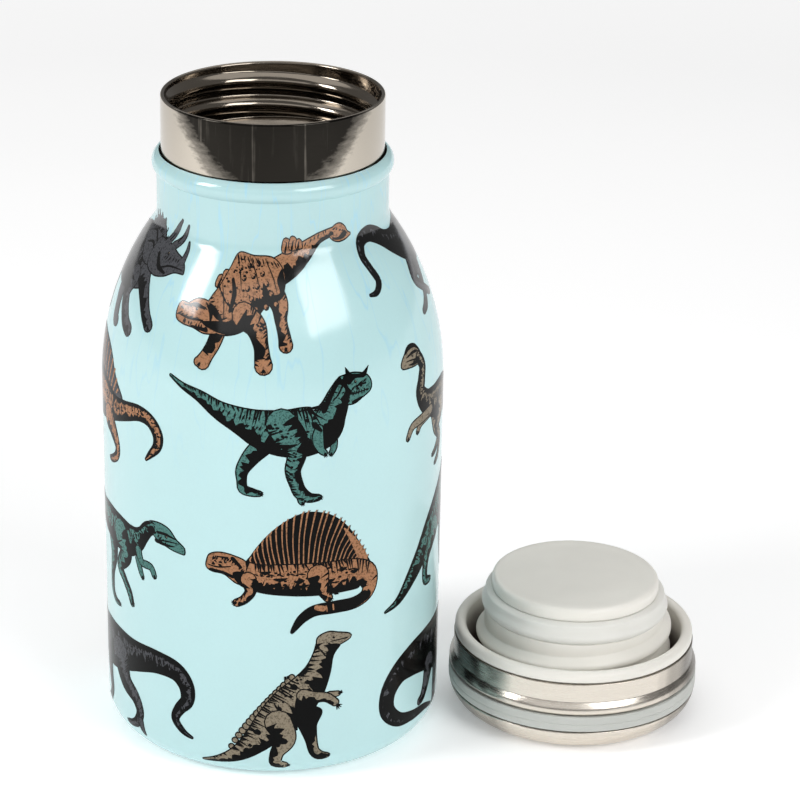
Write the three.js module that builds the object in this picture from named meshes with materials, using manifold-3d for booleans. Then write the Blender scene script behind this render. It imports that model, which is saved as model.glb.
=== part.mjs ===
// A double-wall steel drinking bottle for a child, with its screw stopper lying upside down beside it.
//
// Millimetres, +Z up. The origin is the centre of the bottle's base, on the surface it stands on,
// and +X runs from the bottle's axis to the lid's axis. Almost every piece is a turned shape: its
// half section is drawn as [radius, height] points, anticlockwise, and turned about its own axis.

import * as THREE from 'three';
import * as BufferGeometryUtils from 'three/addons/utils/BufferGeometryUtils.js';
import Module from 'manifold-3d';

const wasm = await Module();
wasm.setup();

// ---- driving dimensions ------------------------------------------------------------------------

const BODY_RADIUS = 33;
const NECK_RADIUS = 22;
const RIM_HEIGHT = 128.3;
const SHOULDER_HEIGHT = 72; // where the straight side ends
const SHOULDER_RADIUS = 54; // of the convex arc above the side
const NECK_FILLET = 4.5;
const FOOT_FILLET = 6;
const SHELL_WALL = 0.6;
const VESSEL_WALL = 0.6;
const VACUUM_GAP = 2.6; // between the two walls of the body
const CLEARANCE = 0.3; // left between pieces that touch
const AROUND = 36; // facets around a turned piece

const COLLAR_RADIUS = 21.1;
const COLLAR_FOOT = 113.5;
const MOUTH_RADIUS = 20.25;
const SEAT_RADIUS = 18.4; // bore below the thread, where the gasket seals
const BEAD = { centre: 20.65, height: 115.3, radius: 2.2 }; // rolled bead that ends the outer shell

const THREAD_PITCH = 4.7; // right-handed, single start
const MOUTH_THREAD_CREST = 18.9;
const STOPPER_THREAD_CREST = 19.5;

const LID_AXIS_X = 60.5;
const LID_RADIUS = 24.8;
const LID_BAND_RADIUS = 23.9; // straight steel band next to the liner's rim
const LID_WALL = 0.6;
const LID_EDGE = 15.15; // height of the steel's open edge
const LINER_TOP = 17.5;
const LINER_INNER = 21.5;
const GROOVE_FLOOR = 5.7; // of the annular space that the bottle's collar enters
const STOPPER_RADIUS = 17.9;
const STOPPER_TOP = 27.7;

// ---- outlines ----------------------------------------------------------------------------------

// Points along an arc about [cr, cz], from angle a to b in degrees.
function arc(cr, cz, radius, a, b, steps = 4) {
  const points = [];
  for (let i = 0; i <= steps; i++) {
    const t = THREE.MathUtils.degToRad(a + ((b - a) * i) / steps);
    points.push([cr + radius * Math.cos(t), cz + radius * Math.sin(t)]);
  }
  return points;
}

// The shoulder: a convex arc tangent to the side, then a concave fillet tangent to the neck.
function shoulder(sideRadius, neckRadius, fillet) {
  const arcCentre = BODY_RADIUS - SHOULDER_RADIUS;
  const arcRadius = sideRadius - arcCentre;
  const reach = arcRadius + fillet;
  const run = neckRadius + fillet - arcCentre;
  const rise = Math.sqrt(reach * reach - run * run);
  const tangent = THREE.MathUtils.radToDeg(Math.atan2(rise, run));
  return [
    ...arc(arcCentre, SHOULDER_HEIGHT, arcRadius, 0, tangent, 7),
    ...arc(neckRadius + fillet, SHOULDER_HEIGHT + rise, fillet, 180 + tangent, 180, 3).slice(1),
  ];
}

// ---- solids ------------------------------------------------------------------------------------

// Turns a half section about +Z. A ring's outline is closed here; a solid's starts and ends on the axis.
function turned(outline, around = AROUND) {
  const points = outline.map(([r, z]) => new THREE.Vector2(r, z));
  const onAxis = outline[0][0] === 0 && outline[outline.length - 1][0] === 0;
  if (!onAxis) points.push(points[0].clone());
  const geometry = new THREE.LatheGeometry(points, around);
  geometry.rotateX(Math.PI / 2);
  return geometry;
}

// A right-handed helical ridge that fades out at both ends, as one closed sweep of a trapezium.
function helicalRidge({ root, crest, rootWidth, crestWidth, turns, startAngle, startHeight }) {
  const steps = Math.round(turns * AROUND);
  const fade = steps / 8;
  const positions = [];
  const index = [];
  for (let i = 0; i <= steps; i++) {
    const angle = THREE.MathUtils.degToRad(startAngle) + (i / steps) * turns * 2 * Math.PI;
    const height = startHeight + (i / steps) * turns * THREAD_PITCH;
    const grown = Math.max(0.15, Math.min(1, i / fade, (steps - i) / fade));
    const tip = root + (crest - root) * grown;
    for (const [r, dz] of [
      [root, -rootWidth / 2], [tip, -crestWidth / 2], [tip, crestWidth / 2], [root, rootWidth / 2],
    ]) {
      positions.push(r * Math.cos(angle), r * Math.sin(angle), height + dz);
    }
  }
  const outward = crest > root;
  const face = (a, b, c) => (outward ? index.push(a, b, c) : index.push(a, c, b));
  for (let i = 0; i < steps; i++) {
    for (let k = 0; k < 4; k++) {
      const [a, b] = [4 * i + k, 4 * i + ((k + 1) % 4)];
      face(a, a + 4, b);
      face(b, a + 4, b + 4);
    }
  }
  const last = 4 * steps;
  face(0, 1, 2);
  face(0, 2, 3);
  face(last, last + 2, last + 1);
  face(last, last + 3, last + 2);
  const geometry = new THREE.BufferGeometry();
  geometry.setAttribute('position', new THREE.Float32BufferAttribute(positions, 3));
  geometry.setIndex(index);
  return geometry;
}

function toManifold(geometry) {
  const bare = geometry.clone();
  bare.deleteAttribute('normal');
  bare.deleteAttribute('uv');
  const merged = BufferGeometryUtils.mergeVertices(bare, 1e-4);
  const corners = merged.index.array;
  const kept = [];
  for (let i = 0; i < corners.length; i += 3) {
    const [a, b, c] = corners.slice(i, i + 3);
    if (a !== b && b !== c && a !== c) kept.push(a, b, c);
  }
  return new wasm.Manifold(new wasm.Mesh({
    numProp: 3,
    vertProperties: Float32Array.from(merged.attributes.position.array),
    triVerts: Uint32Array.from(kept),
  }));
}

function fromManifold(solid) {
  const mesh = solid.getMesh();
  const geometry = new THREE.BufferGeometry();
  geometry.setAttribute('position', new THREE.BufferAttribute(mesh.vertProperties, 3));
  geometry.setIndex(new THREE.BufferAttribute(mesh.triVerts, 1));
  geometry.computeVertexNormals();
  return geometry;
}

const joined = (a, b) => fromManifold(toManifold(a).add(toManifold(b)));

// ---- materials ---------------------------------------------------------------------------------

const finish = (color, roughness, metalness) => () =>
  new THREE.MeshStandardMaterial({ color, roughness, metalness });

const enamel = finish(0xa9cdd0, 0.25, 0.1);
const polishedSteel = finish(0xc9c6c2, 0.15, 1);
const brushedSteel = finish(0xb9b2a9, 0.35, 1);
const bareSteel = finish(0xa8a8a8, 0.5, 1);
const whitePlastic = finish(0xe1ded6, 0.45, 0);
const silicone = finish(0xc8d0ce, 0.6, 0);
const gasketSilicone = finish(0xdcdad3, 0.55, 0);
const foam = finish(0xe8e0c8, 0.9, 0);
const solder = finish(0x8f8f8f, 0.4, 1);

// ---- the bottle --------------------------------------------------------------------------------

// Enamelled outer wall: a hem that it stands on, straight side, shoulder, neck and rolled bead.
function outerShell() {
  const hemOuter = BODY_RADIUS - FOOT_FILLET;
  const hemInner = hemOuter - 1;
  const hemHeight = 3;
  const neckInner = COLLAR_RADIUS + CLEARANCE;
  const beadStart = THREE.MathUtils.radToDeg(Math.acos((NECK_RADIUS - BEAD.centre) / BEAD.radius));
  const beadEnd = THREE.MathUtils.radToDeg(Math.acos((neckInner - BEAD.centre) / BEAD.radius));
  const innerFillet = NECK_FILLET + SHELL_WALL;
  return turned([
    [hemInner, hemHeight],
    [hemInner, 0],
    ...arc(hemOuter, FOOT_FILLET, FOOT_FILLET, -90, 0),
    ...shoulder(BODY_RADIUS, NECK_RADIUS, NECK_FILLET),
    ...arc(BEAD.centre, BEAD.height, BEAD.radius, -beadStart, beadEnd, 6),
    ...shoulder(BODY_RADIUS - SHELL_WALL, neckInner, innerFillet).reverse(),
    ...arc(hemOuter, FOOT_FILLET, FOOT_FILLET - SHELL_WALL, 0, -90),
    [hemInner + SHELL_WALL, SHELL_WALL],
    [hemInner + SHELL_WALL, hemHeight],
  ], 44);
}

// Polished mouth ring above the bead, with the thread rolled inside it and a sealing seat below.
function neckCollar() {
  const seatTop = RIM_HEIGHT - 11;
  const seatFoot = RIM_HEIGHT - 12.7;
  const lip = (COLLAR_RADIUS - MOUTH_RADIUS) / 2;
  const vesselNeck = SEAT_RADIUS + VESSEL_WALL;
  const ring = turned([
    [SEAT_RADIUS, COLLAR_FOOT],
    [vesselNeck, COLLAR_FOOT],
    [vesselNeck, COLLAR_FOOT + 1.2],
    [COLLAR_RADIUS, seatFoot + 1],
    ...arc(COLLAR_RADIUS - lip, RIM_HEIGHT - lip, lip, 0, 180, 4),
    [MOUTH_RADIUS, seatTop],
    [SEAT_RADIUS, seatFoot],
  ]);
  const ridge = helicalRidge({
    root: MOUTH_RADIUS + 0.35, crest: MOUTH_THREAD_CREST, rootWidth: 2.6, crestWidth: 0.7,
    turns: 1.6, startAngle: -10, startHeight: 118.4,
  });
  return joined(ring, ridge);
}

// Inner wall, open at both ends: its neck meets the collar and its foot meets the dished bottom.
function innerVessel() {
  const outer = BODY_RADIUS - SHELL_WALL - VACUUM_GAP;
  const inner = outer - VESSEL_WALL;
  const foot = 14.8;
  const fillet = 7;
  const top = COLLAR_FOOT - CLEARANCE;
  const neckOuter = SEAT_RADIUS + VESSEL_WALL;
  return turned([
    [inner, foot],
    [outer, foot],
    ...shoulder(outer, neckOuter, fillet),
    [neckOuter, top],
    [SEAT_RADIUS, top],
    ...shoulder(inner, SEAT_RADIUS, fillet + VESSEL_WALL).reverse(),
  ]);
}

function innerVesselBase() {
  const outer = BODY_RADIUS - SHELL_WALL - VACUUM_GAP;
  const corner = 7;
  const low = 6.2;
  const top = 14.5;
  return turned([
    [0, low],
    ...arc(outer - corner, low + corner, corner, -90, 0),
    [outer, top],
    [outer - VESSEL_WALL, top],
    ...arc(outer - corner, low + corner, corner - VESSEL_WALL, 0, -90),
    [0, low + VESSEL_WALL],
  ]);
}

// Outer bottom, set up inside the hem, with the hole that the space between the walls was emptied by.
const PLATE_FOOT = 1.5;
const PLATE_TOP = 2.3;

function basePlate() {
  const edge = BODY_RADIUS - FOOT_FILLET - 1 - CLEARANCE;
  return turned([[1.5, PLATE_FOOT], [edge, PLATE_FOOT], [edge, PLATE_TOP], [1.5, PLATE_TOP]]);
}

function vacuumSeal() {
  return turned([[0, PLATE_FOOT], [1.2, PLATE_FOOT], [1.2, PLATE_TOP], [0, PLATE_TOP + 0.6]], 16);
}

function getter() {
  const foot = PLATE_TOP + CLEARANCE;
  return turned([[0, foot], [4, foot], [4, foot + 1.2], [3.4, foot + 1.6], [0, foot + 1.6]], 24);
}

// Thin disc that hides the seal. It stays clear of the surface, so the bottle stands on its hem.
function baseCover() {
  const edge = BODY_RADIUS - FOOT_FILLET - 1 - CLEARANCE;
  return turned([
    [0, 0.6], [edge - 0.3, 0.6], [edge, 0.9], [edge, PLATE_FOOT - CLEARANCE], [0, PLATE_FOOT - CLEARANCE],
  ]);
}

// ---- the lid, upside down, its crown on z = 0 ---------------------------------------------------

const BAND_FOOT = 5.3; // silicone band and its groove
const BAND_TOP = 8.5;
const BAND_FLOOR = 23.7;

// Brushed steel cap: flat crown, rounded edge, groove for the band, bulge, straight band.
function lidShell() {
  const crown = 6;
  const crownFlat = LID_RADIUS - crown;
  return turned([
    [0, 0],
    ...arc(crownFlat, crown, crown, -90, -12, 5),
    [LID_RADIUS - 0.3, BAND_FOOT - CLEARANCE],
    [BAND_FLOOR, BAND_FOOT - CLEARANCE],
    [BAND_FLOOR, BAND_TOP + CLEARANCE],
    [LID_RADIUS - 0.3, BAND_TOP + CLEARANCE],
    [LID_RADIUS, 9.3],
    [LID_RADIUS - 0.25, 10.2],
    [LID_BAND_RADIUS + 0.05, 11.1],
    [LID_BAND_RADIUS, 11.5],
    [LID_BAND_RADIUS, LID_EDGE],
    [LID_BAND_RADIUS - LID_WALL, LID_EDGE],
    [LID_BAND_RADIUS - LID_WALL, BAND_FOOT - 0.8],
    ...arc(crownFlat, crown, crown - LID_WALL, -20, -90, 4),
    [0, LID_WALL],
  ], 44);
}

function gripBand() {
  const outer = LID_RADIUS + 0.05;
  const inner = BAND_FLOOR + CLEARANCE;
  return turned([
    [inner, BAND_FOOT], [outer - 0.3, BAND_FOOT], [outer, BAND_FOOT + 0.3],
    [outer, BAND_TOP - 0.3], [outer - 0.3, BAND_TOP], [inner, BAND_TOP],
  ]);
}

// White plastic lining: the floor and outer wall of the annular space, ending in a rounded rim.
function lidLiner() {
  const outer = LID_BAND_RADIUS - LID_WALL - CLEARANCE;
  const floor = 1.5;
  const rim = 1.1;
  return turned([
    [0, GROOVE_FLOOR - floor],
    [outer, GROOVE_FLOOR - floor],
    [outer, LID_EDGE + CLEARANCE],
    [LID_BAND_RADIUS - 0.15, LID_EDGE + CLEARANCE],
    ...arc(LID_BAND_RADIUS - 0.15 - rim, LINER_TOP - rim, rim, 0, 90, 3),
    ...arc(LINER_INNER + rim, LINER_TOP - rim, rim, 90, 180, 3).slice(1),
    [LINER_INNER, GROOVE_FLOOR],
    [0, GROOVE_FLOOR],
  ]);
}

const STOPPER_WALL = 1.6;
const SHELF = 20.8; // top of the stopper's full width, under the gasket
const NECK_TOP = 25;
const STOPPER_NECK = 15.3;

// Hollow stopper with the outside thread: full width up to the gasket's shelf, then a narrower neck.
function stopperBody() {
  const foot = GROOVE_FLOOR + CLEARANCE;
  const cup = turned([
    [0, foot],
    [STOPPER_RADIUS, foot],
    [STOPPER_RADIUS, SHELF],
    [STOPPER_NECK, SHELF],
    [STOPPER_NECK, NECK_TOP],
    [STOPPER_NECK - STOPPER_WALL, NECK_TOP],
    [STOPPER_NECK - STOPPER_WALL, SHELF - STOPPER_WALL],
    [STOPPER_RADIUS - STOPPER_WALL, SHELF - 2 * STOPPER_WALL],
    [STOPPER_RADIUS - STOPPER_WALL, foot + STOPPER_WALL],
    [0, foot + STOPPER_WALL],
  ]);
  const ridge = helicalRidge({
    root: STOPPER_RADIUS - 0.4, crest: STOPPER_THREAD_CREST, rootWidth: 2.9, crestWidth: 1.1,
    turns: 1.6, startAngle: -170, startHeight: 10.4,
  });
  return joined(cup, ridge);
}

function stopperFoam() {
  const foot = GROOVE_FLOOR + STOPPER_WALL + 2 * CLEARANCE;
  const wide = STOPPER_RADIUS - STOPPER_WALL - CLEARANCE;
  const narrow = STOPPER_NECK - STOPPER_WALL - CLEARANCE;
  const shelf = SHELF - 2 * STOPPER_WALL - CLEARANCE;
  return turned([
    [0, foot], [wide, foot], [wide, shelf], [narrow, SHELF - STOPPER_WALL], [narrow, 22.6], [0, 22.6],
  ]);
}

// Sealing ring around the stopper's neck: a plain sleeve with one soft lip.
function stopperGasket() {
  const inner = STOPPER_NECK + CLEARANCE;
  const foot = SHELF + CLEARANCE;
  const top = NECK_TOP + 0.1;
  return turned([
    [inner, foot], [STOPPER_RADIUS, foot], [18.5, 21.8], [18.55, 22.4],
    [STOPPER_RADIUS, 23.5], [STOPPER_RADIUS, top - 0.2], [STOPPER_RADIUS - 0.2, top], [inner, top],
  ]);
}

// Cap that closes the stopper and holds the gasket down, with a spigot inside the neck.
function stopperEndCap() {
  const cap = 16.55;
  const edge = 0.9;
  const under = NECK_TOP + 2 * CLEARANCE;
  const spigot = STOPPER_NECK - STOPPER_WALL - CLEARANCE;
  return turned([
    [0, 23], [spigot, 23], [spigot, under], [cap, under],
    ...arc(cap - edge, STOPPER_TOP - edge, edge, 0, 90, 3),
    [0, STOPPER_TOP],
  ]);
}

// ---- assembly ----------------------------------------------------------------------------------

const bottle = new THREE.Group();
const lid = new THREE.Group();
lid.position.x = LID_AXIS_X;

function place(group, name, geometry, material) {
  const mesh = new THREE.Mesh(geometry, material());
  mesh.name = name;
  group.add(mesh);
  return mesh;
}

place(bottle, 'outer_shell', outerShell(), enamel);
place(bottle, 'neck_collar', neckCollar(), polishedSteel);
place(bottle, 'inner_vessel', innerVessel(), bareSteel);
place(bottle, 'inner_vessel_base', innerVesselBase(), bareSteel);
place(bottle, 'base_plate', basePlate(), bareSteel);
place(bottle, 'vacuum_seal', vacuumSeal(), solder);
place(bottle, 'getter', getter(), bareSteel).position.x = 14;
place(bottle, 'base_cover', baseCover(), brushedSteel);

place(lid, 'lid_shell', lidShell(), brushedSteel);
place(lid, 'grip_band', gripBand(), silicone);
place(lid, 'lid_liner', lidLiner(), whitePlastic);
place(lid, 'stopper_body', stopperBody(), whitePlastic);
place(lid, 'stopper_foam', stopperFoam(), foam);
place(lid, 'stopper_gasket', stopperGasket(), gasketSilicone);
place(lid, 'stopper_end_cap', stopperEndCap(), whitePlastic);

const kidsBottle = new THREE.Group();
kidsBottle.add(bottle, lid);

export default kidsBottle;
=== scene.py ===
"""The looks of a child's double-wall steel bottle, with its screw stopper upside down beside it.

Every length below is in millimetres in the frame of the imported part: +Z up, the bottle's axis on
the origin and the lid's axis on +X. Turned pieces are half sections, [radius, height] points taken
anticlockwise, with an optional third value that rounds that corner. The printed creatures are drawn
on the unrolled wall: x runs round it at the body's radius, y runs up along its outline.
"""

import math
import random

import bmesh
import bpy
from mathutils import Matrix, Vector
from mathutils.geometry import delaunay_2d_cdt


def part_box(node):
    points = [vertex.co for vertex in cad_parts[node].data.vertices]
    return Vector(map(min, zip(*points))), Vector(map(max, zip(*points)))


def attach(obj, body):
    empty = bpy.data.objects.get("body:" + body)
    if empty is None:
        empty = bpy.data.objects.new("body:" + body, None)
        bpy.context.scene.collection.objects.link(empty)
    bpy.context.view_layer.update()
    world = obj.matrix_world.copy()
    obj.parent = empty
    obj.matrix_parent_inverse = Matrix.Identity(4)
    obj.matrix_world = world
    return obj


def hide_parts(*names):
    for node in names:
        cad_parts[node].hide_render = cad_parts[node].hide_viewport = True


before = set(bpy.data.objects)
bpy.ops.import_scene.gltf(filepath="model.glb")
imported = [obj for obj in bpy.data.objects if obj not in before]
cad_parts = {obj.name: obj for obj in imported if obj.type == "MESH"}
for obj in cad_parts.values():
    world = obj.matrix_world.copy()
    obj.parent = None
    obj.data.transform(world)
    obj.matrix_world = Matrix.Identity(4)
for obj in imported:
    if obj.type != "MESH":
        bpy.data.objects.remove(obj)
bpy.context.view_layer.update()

# ---- sizes -------------------------------------------------------------------------------------

MM = 0.001


def span(node):
    """Lowest and highest corner of a CAD node, in millimetres."""
    low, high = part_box(node)
    return [v / MM for v in low], [v / MM for v in high]


BODY_RADIUS = span("outer_shell")[1][1]
BEAD_TOP = span("outer_shell")[1][2]
COLLAR_RADIUS = span("neck_collar")[1][1]
COLLAR_FOOT = span("neck_collar")[0][2]
RIM_HEIGHT = span("neck_collar")[1][2]
LID_AXIS = (span("lid_shell")[0][0] + span("lid_shell")[1][0]) / 2
LID_RADIUS = span("lid_shell")[1][1]
LID_EDGE = span("lid_shell")[1][2]
BAND_FOOT = span("grip_band")[0][2]
BAND_TOP = span("grip_band")[1][2]
LINER_TOP = span("lid_liner")[1][2]
GASKET_FOOT = span("stopper_gasket")[0][2]
GASKET_TOP = span("stopper_gasket")[1][2]
STOPPER_TOP = span("stopper_end_cap")[1][2]

NECK_RADIUS = 22
NECK_FILLET = 4.5
SHOULDER_HEIGHT = 72
SHOULDER_RADIUS = 54
FOOT_FILLET = 6
WALL = 0.6
COAT = 0.1  # thickness of the enamel
BEAD_CENTRE = 20.65
BEAD_HEIGHT = 115.3
BEAD_RADIUS = 2.2
MOUTH_RADIUS = 20.25
SEAT_RADIUS = 18.4
VESSEL_RADIUS = 29.8
THREAD_PITCH = 4.7
BAND_RADIUS = 23.9  # of the straight steel band of the lid
LINER_INNER = 21.5
STOPPER_RADIUS = 17.9


# ---- outlines ----------------------------------------------------------------------------------

def arc(r, z, radius, start, end, steps=12):
    """Points along an arc about (r, z), between two angles in degrees."""
    turn = [math.radians(start + (end - start) * i / steps) for i in range(steps + 1)]
    return [(r + radius * math.cos(t), z + radius * math.sin(t)) for t in turn]


def rounded(outline, closed, steps=5):
    """The outline with each corner that has a third value rounded to about that radius."""
    points, count = [], len(outline)
    for i, corner in enumerate(outline):
        at = Vector(corner[:2])
        ends = i == 0 or i == count - 1
        if len(corner) < 3 or (ends and not closed):
            points.append(tuple(at))
            continue
        back = Vector(outline[i - 1][:2]) - at
        ahead = Vector(outline[(i + 1) % count][:2]) - at
        cut = min(corner[2], back.length * 0.45, ahead.length * 0.45)
        a, b = at + back.normalized() * cut, at + ahead.normalized() * cut
        for k in range(steps + 1):
            t = k / steps
            points.append(tuple(a * (1 - t) ** 2 + at * 2 * t * (1 - t) + b * t * t))
    return points


def shoulder(side, neck, fillet):
    """Convex arc tangent to the side, then a concave fillet tangent to the neck."""
    centre = BODY_RADIUS - SHOULDER_RADIUS
    radius = side - centre
    run = neck + fillet - centre
    rise = math.sqrt((radius + fillet) ** 2 - run ** 2)
    tangent = math.degrees(math.atan2(rise, run))
    return (arc(centre, SHOULDER_HEIGHT, radius, 0, tangent, 28)
            + arc(neck + fillet, SHOULDER_HEIGHT + rise, fillet, 180 + tangent, 180, 10)[1:])


# ---- meshes ------------------------------------------------------------------------------------

def finish_mesh(bm, name):
    """A mesh from bm with outward faces, smooth but for edges sharper than 32 degrees."""
    bmesh.ops.recalc_face_normals(bm, faces=bm.faces)
    for face in bm.faces:
        face.smooth = True
    for edge in bm.edges:
        edge.smooth = not edge.is_manifold or edge.calc_face_angle(0) < math.radians(32)
    mesh = bpy.data.meshes.new(name)
    bm.to_mesh(mesh)
    bm.free()
    return mesh


def turned(name, outline, around=160, swell=None):
    """A half section turned about Z. It closes on itself, unless it starts and ends on the axis.

    swell(angle, radius, height), where given, is how far a point moves out from the axis.
    """
    solid = outline[0][0] == 0 and outline[-1][0] == 0
    points = rounded(outline, closed=not solid)
    bm = bmesh.new()
    rings = []
    for r, z in points:
        if r == 0:
            rings.append([bm.verts.new((0, 0, z * MM))])
            continue
        ring = []
        for k in range(around):
            t = 2 * math.pi * k / around
            out = (r + (swell(t, r, z) if swell else 0)) * MM
            ring.append(bm.verts.new((out * math.cos(t), out * math.sin(t), z * MM)))
        rings.append(ring)
    pairs = list(zip(rings, rings[1:]))
    if not solid:
        pairs.append((rings[-1], rings[0]))
    for low, high in pairs:
        for k in range(around):
            corners = []
            for ring, j in ((low, k), (low, k + 1), (high, k + 1), (high, k)):
                vert = ring[j % len(ring)]
                if vert not in corners:
                    corners.append(vert)
            if len(corners) > 2:
                bm.faces.new(corners)
    return finish_mesh(bm, name)


def piece(mesh, body, material, replaces=None, axis=0.0):
    """Adds a mesh as a piece that rides on a body, its own origin on the axis it was turned about."""
    item = bpy.data.objects.new(mesh.name, mesh)
    bpy.context.scene.collection.objects.link(item)
    item.location.x = axis * MM
    mesh.materials.append(material)
    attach(item, body)
    if replaces:
        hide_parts(replaces)


# ---- materials ---------------------------------------------------------------------------------

def srgb(red, green, blue):
    """A colour given as 0 to 255, as the linear colour that a shader takes."""
    def linear(v):
        v /= 255
        return v / 12.92 if v <= 0.04045 else ((v + 0.055) / 1.055) ** 2.4
    return (linear(red), linear(green), linear(blue), 1)


class Shader:
    """A node material with one Principled shader, and short calls for the nodes that feed it."""

    def __init__(self, name, **values):
        self.material = bpy.data.materials.new(name)
        self.material.use_nodes = True
        self.tree = self.material.node_tree
        self.principled = self.tree.nodes["Principled BSDF"]
        for key, value in values.items():
            self.principled.inputs[key.replace("_", " ")].default_value = value
        self.place = self.node("ShaderNodeTexCoord").outputs["Object"]

    def node(self, kind, **settings):
        made = self.tree.nodes.new(kind)
        for key, value in settings.items():
            setattr(made, key, value)
        return made

    def link(self, output, target):
        self.tree.links.new(output, target)

    def math(self, operation, a, b=0.0):
        made = self.node("ShaderNodeMath", operation=operation)
        for value, socket in ((a, made.inputs[0]), (b, made.inputs[1])):
            if isinstance(value, (int, float)):
                socket.default_value = value
            else:
                self.link(value, socket)
        return made.outputs[0]

    def times(self, a, b):
        return self.math("MULTIPLY", a, b)

    def axes(self):
        """The object's own x, y and z, in metres."""
        split = self.node("ShaderNodeSeparateXYZ")
        self.link(self.place, split.inputs[0])
        return split.outputs

    def off_axis(self, x, y):
        """Distance from the object's Z axis."""
        return self.math("POWER", self.math("ADD", self.times(x, x), self.times(y, y)), 0.5)

    def around(self, per_turn, per_mm, per_radius=0.0):
        """Coordinates that follow a turned surface: round the axis, up it, and out from it."""
        x, y, z = self.axes()
        angle = self.math("ARCTAN2", y, x)
        made = self.node("ShaderNodeCombineXYZ")
        self.link(self.times(self.math("SINE", angle), per_turn), made.inputs[0])
        self.link(self.times(self.math("COSINE", angle), per_turn), made.inputs[1])
        high = self.times(z, per_mm / MM)
        wide = self.times(self.off_axis(x, y), per_radius / MM)
        self.link(self.math("ADD", high, wide), made.inputs[2])
        return made.outputs[0]

    def scaled(self, per_mm):
        """Object coordinates as noise space, with so many features to the millimetre."""
        made = self.node("ShaderNodeVectorMath", operation="SCALE")
        self.link(self.place, made.inputs[0])
        made.inputs["Scale"].default_value = per_mm / MM
        return made.outputs[0]

    def noise(self, where, detail=3.0, roughness=0.5):
        made = self.node("ShaderNodeTexNoise")
        made.inputs["Scale"].default_value = 1
        made.inputs["Detail"].default_value = detail
        made.inputs["Roughness"].default_value = roughness
        self.link(where, made.inputs["Vector"])
        return made.outputs["Fac"]

    def ramp(self, value, *stops):
        """Colours or greys along a value, each stop as (position, colour or number)."""
        made = self.node("ShaderNodeValToRGB")
        elements = made.color_ramp.elements
        while len(elements) < len(stops):
            elements.new(0.5)
        for element, (position, colour) in zip(elements, stops):
            element.position = position
            grey = isinstance(colour, (int, float))
            element.color = (colour, colour, colour, 1) if grey else colour
        self.link(value, made.inputs["Fac"])
        return made.outputs["Color"]

    def mixed(self, blend, factor, a, b):
        """Two colours blended, each an output or a plain colour."""
        made = self.node("ShaderNodeMix", data_type="RGBA", blend_type=blend)
        for value, socket in ((factor, made.inputs["Factor"]), (a, made.inputs[6]), (b, made.inputs[7])):
            if isinstance(value, (int, float, tuple)):
                socket.default_value = value
            else:
                self.link(value, socket)
        return made.outputs[2]

    def film_runs_and_neck_shade(self, base):
        """Painted shade on the neck, and thin bluish runs of film down from there to the shoulder."""
        run = self.noise(self.around(7, 0.035), detail=2)
        line = self.ramp(run, (0.485, 0), (0.5, 1), (0.515, 0))
        rise = self.times(self.axes()[2], 1 / (120 * MM))
        high = self.ramp(rise, (0.5, 0), (0.8, 0.6))
        # Painted shade: from about 96 mm up the colour is multiplied darker, to 0.91 on the neck.
        painted_neck_shade = self.mixed("MULTIPLY", 1.0, base, self.ramp(rise, (0.8, 1), (0.88, 0.91)))
        return self.mixed("MIX", self.times(line, high), painted_neck_shade, srgb(160, 212, 233))

    def painted_reflection_bands(self, base):
        """Painted reflection: dark and bright bands round the axis, bright on two opposite sides."""
        x, y, _ = self.axes()
        twice = self.math("ADD", self.times(self.math("ARCTAN2", y, x), 2), math.pi + 0.1)
        wave = self.times(self.math("COSINE", twice), 0.4)
        ripple = self.times(self.noise(self.around(5, 0.02), detail=3), 0.5)
        # Painted reflection: the base colour is multiplied down to 0.3 where the bands are dark.
        fan = self.ramp(self.math("ADD", wave, ripple), (0.0, 0.3), (0.4, 1))
        return self.mixed("MULTIPLY", 1.0, base, fan)

    def colour(self, output):
        self.link(output, self.principled.inputs["Base Color"])

    def roughness(self, output):
        self.link(output, self.principled.inputs["Roughness"])

    def bump(self, height, depth_mm, strength=1.0):
        made = self.node("ShaderNodeBump")
        made.inputs["Strength"].default_value = strength
        made.inputs["Distance"].default_value = depth_mm * MM
        self.link(height, made.inputs["Height"])
        self.link(made.outputs["Normal"], self.principled.inputs["Normal"])


def tint(colour, factor):
    return tuple(c * factor for c in colour[:3]) + (1,)


def enamel_finish(name, colour, mottle, grain=0, shine=0.5, streaks=False):
    """Glossy stoved enamel: slow unevenness in colour, a fine speckle and a slight orange peel.

    A grain above 0 darkens it in fine flecks, as a screen print in ink does.
    """
    shader = Shader(name, IOR=1.6, Specular_IOR_Level=shine)
    cloud = shader.noise(shader.scaled(0.05))
    speckle = shader.noise(shader.scaled(2.2), detail=2)
    mixed = shader.math("ADD", shader.times(cloud, 0.6), shader.times(speckle, 0.4))
    base = shader.ramp(mixed, (0.3, tint(colour, 1 - mottle)), (0.7, tint(colour, 1 + mottle)))
    if grain:
        flecks = shader.noise(shader.scaled(2.4), detail=4, roughness=0.65)
        base = shader.mixed("MULTIPLY", 1.0, base, shader.ramp(flecks, (0.4, 1 - grain), (0.5, 1)))
    # Where streaks is set, the film's runs and the painted shade on the neck are added.
    shader.colour(shader.film_runs_and_neck_shade(base) if streaks else base)
    shader.roughness(shader.ramp(shader.noise(shader.scaled(0.3)), (0.3, 0.1), (0.7, 0.16)))
    shader.bump(shader.noise(shader.scaled(0.45), detail=2), 0.012)
    return shader.material


def polished_steel(name, colour, rough_low, rough_high):
    """Mirror steel with fine scratches round it, faint smudges and a few hairline marks."""
    shader = Shader(name, Metallic=1.0)
    lines = shader.noise(shader.around(6, 2.5, 2.5), detail=6, roughness=0.7)
    smudge = shader.noise(shader.scaled(0.12), detail=4)
    shader.colour(shader.ramp(smudge, (0.3, tint(colour, 0.92)), (0.7, colour)))
    mixed = shader.math("ADD", shader.times(lines, 0.5), shader.times(smudge, 0.5))
    shader.roughness(shader.ramp(mixed, (0.35, rough_low), (0.65, rough_high)))
    shader.bump(lines, 0.0015)
    return shader.material


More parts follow.
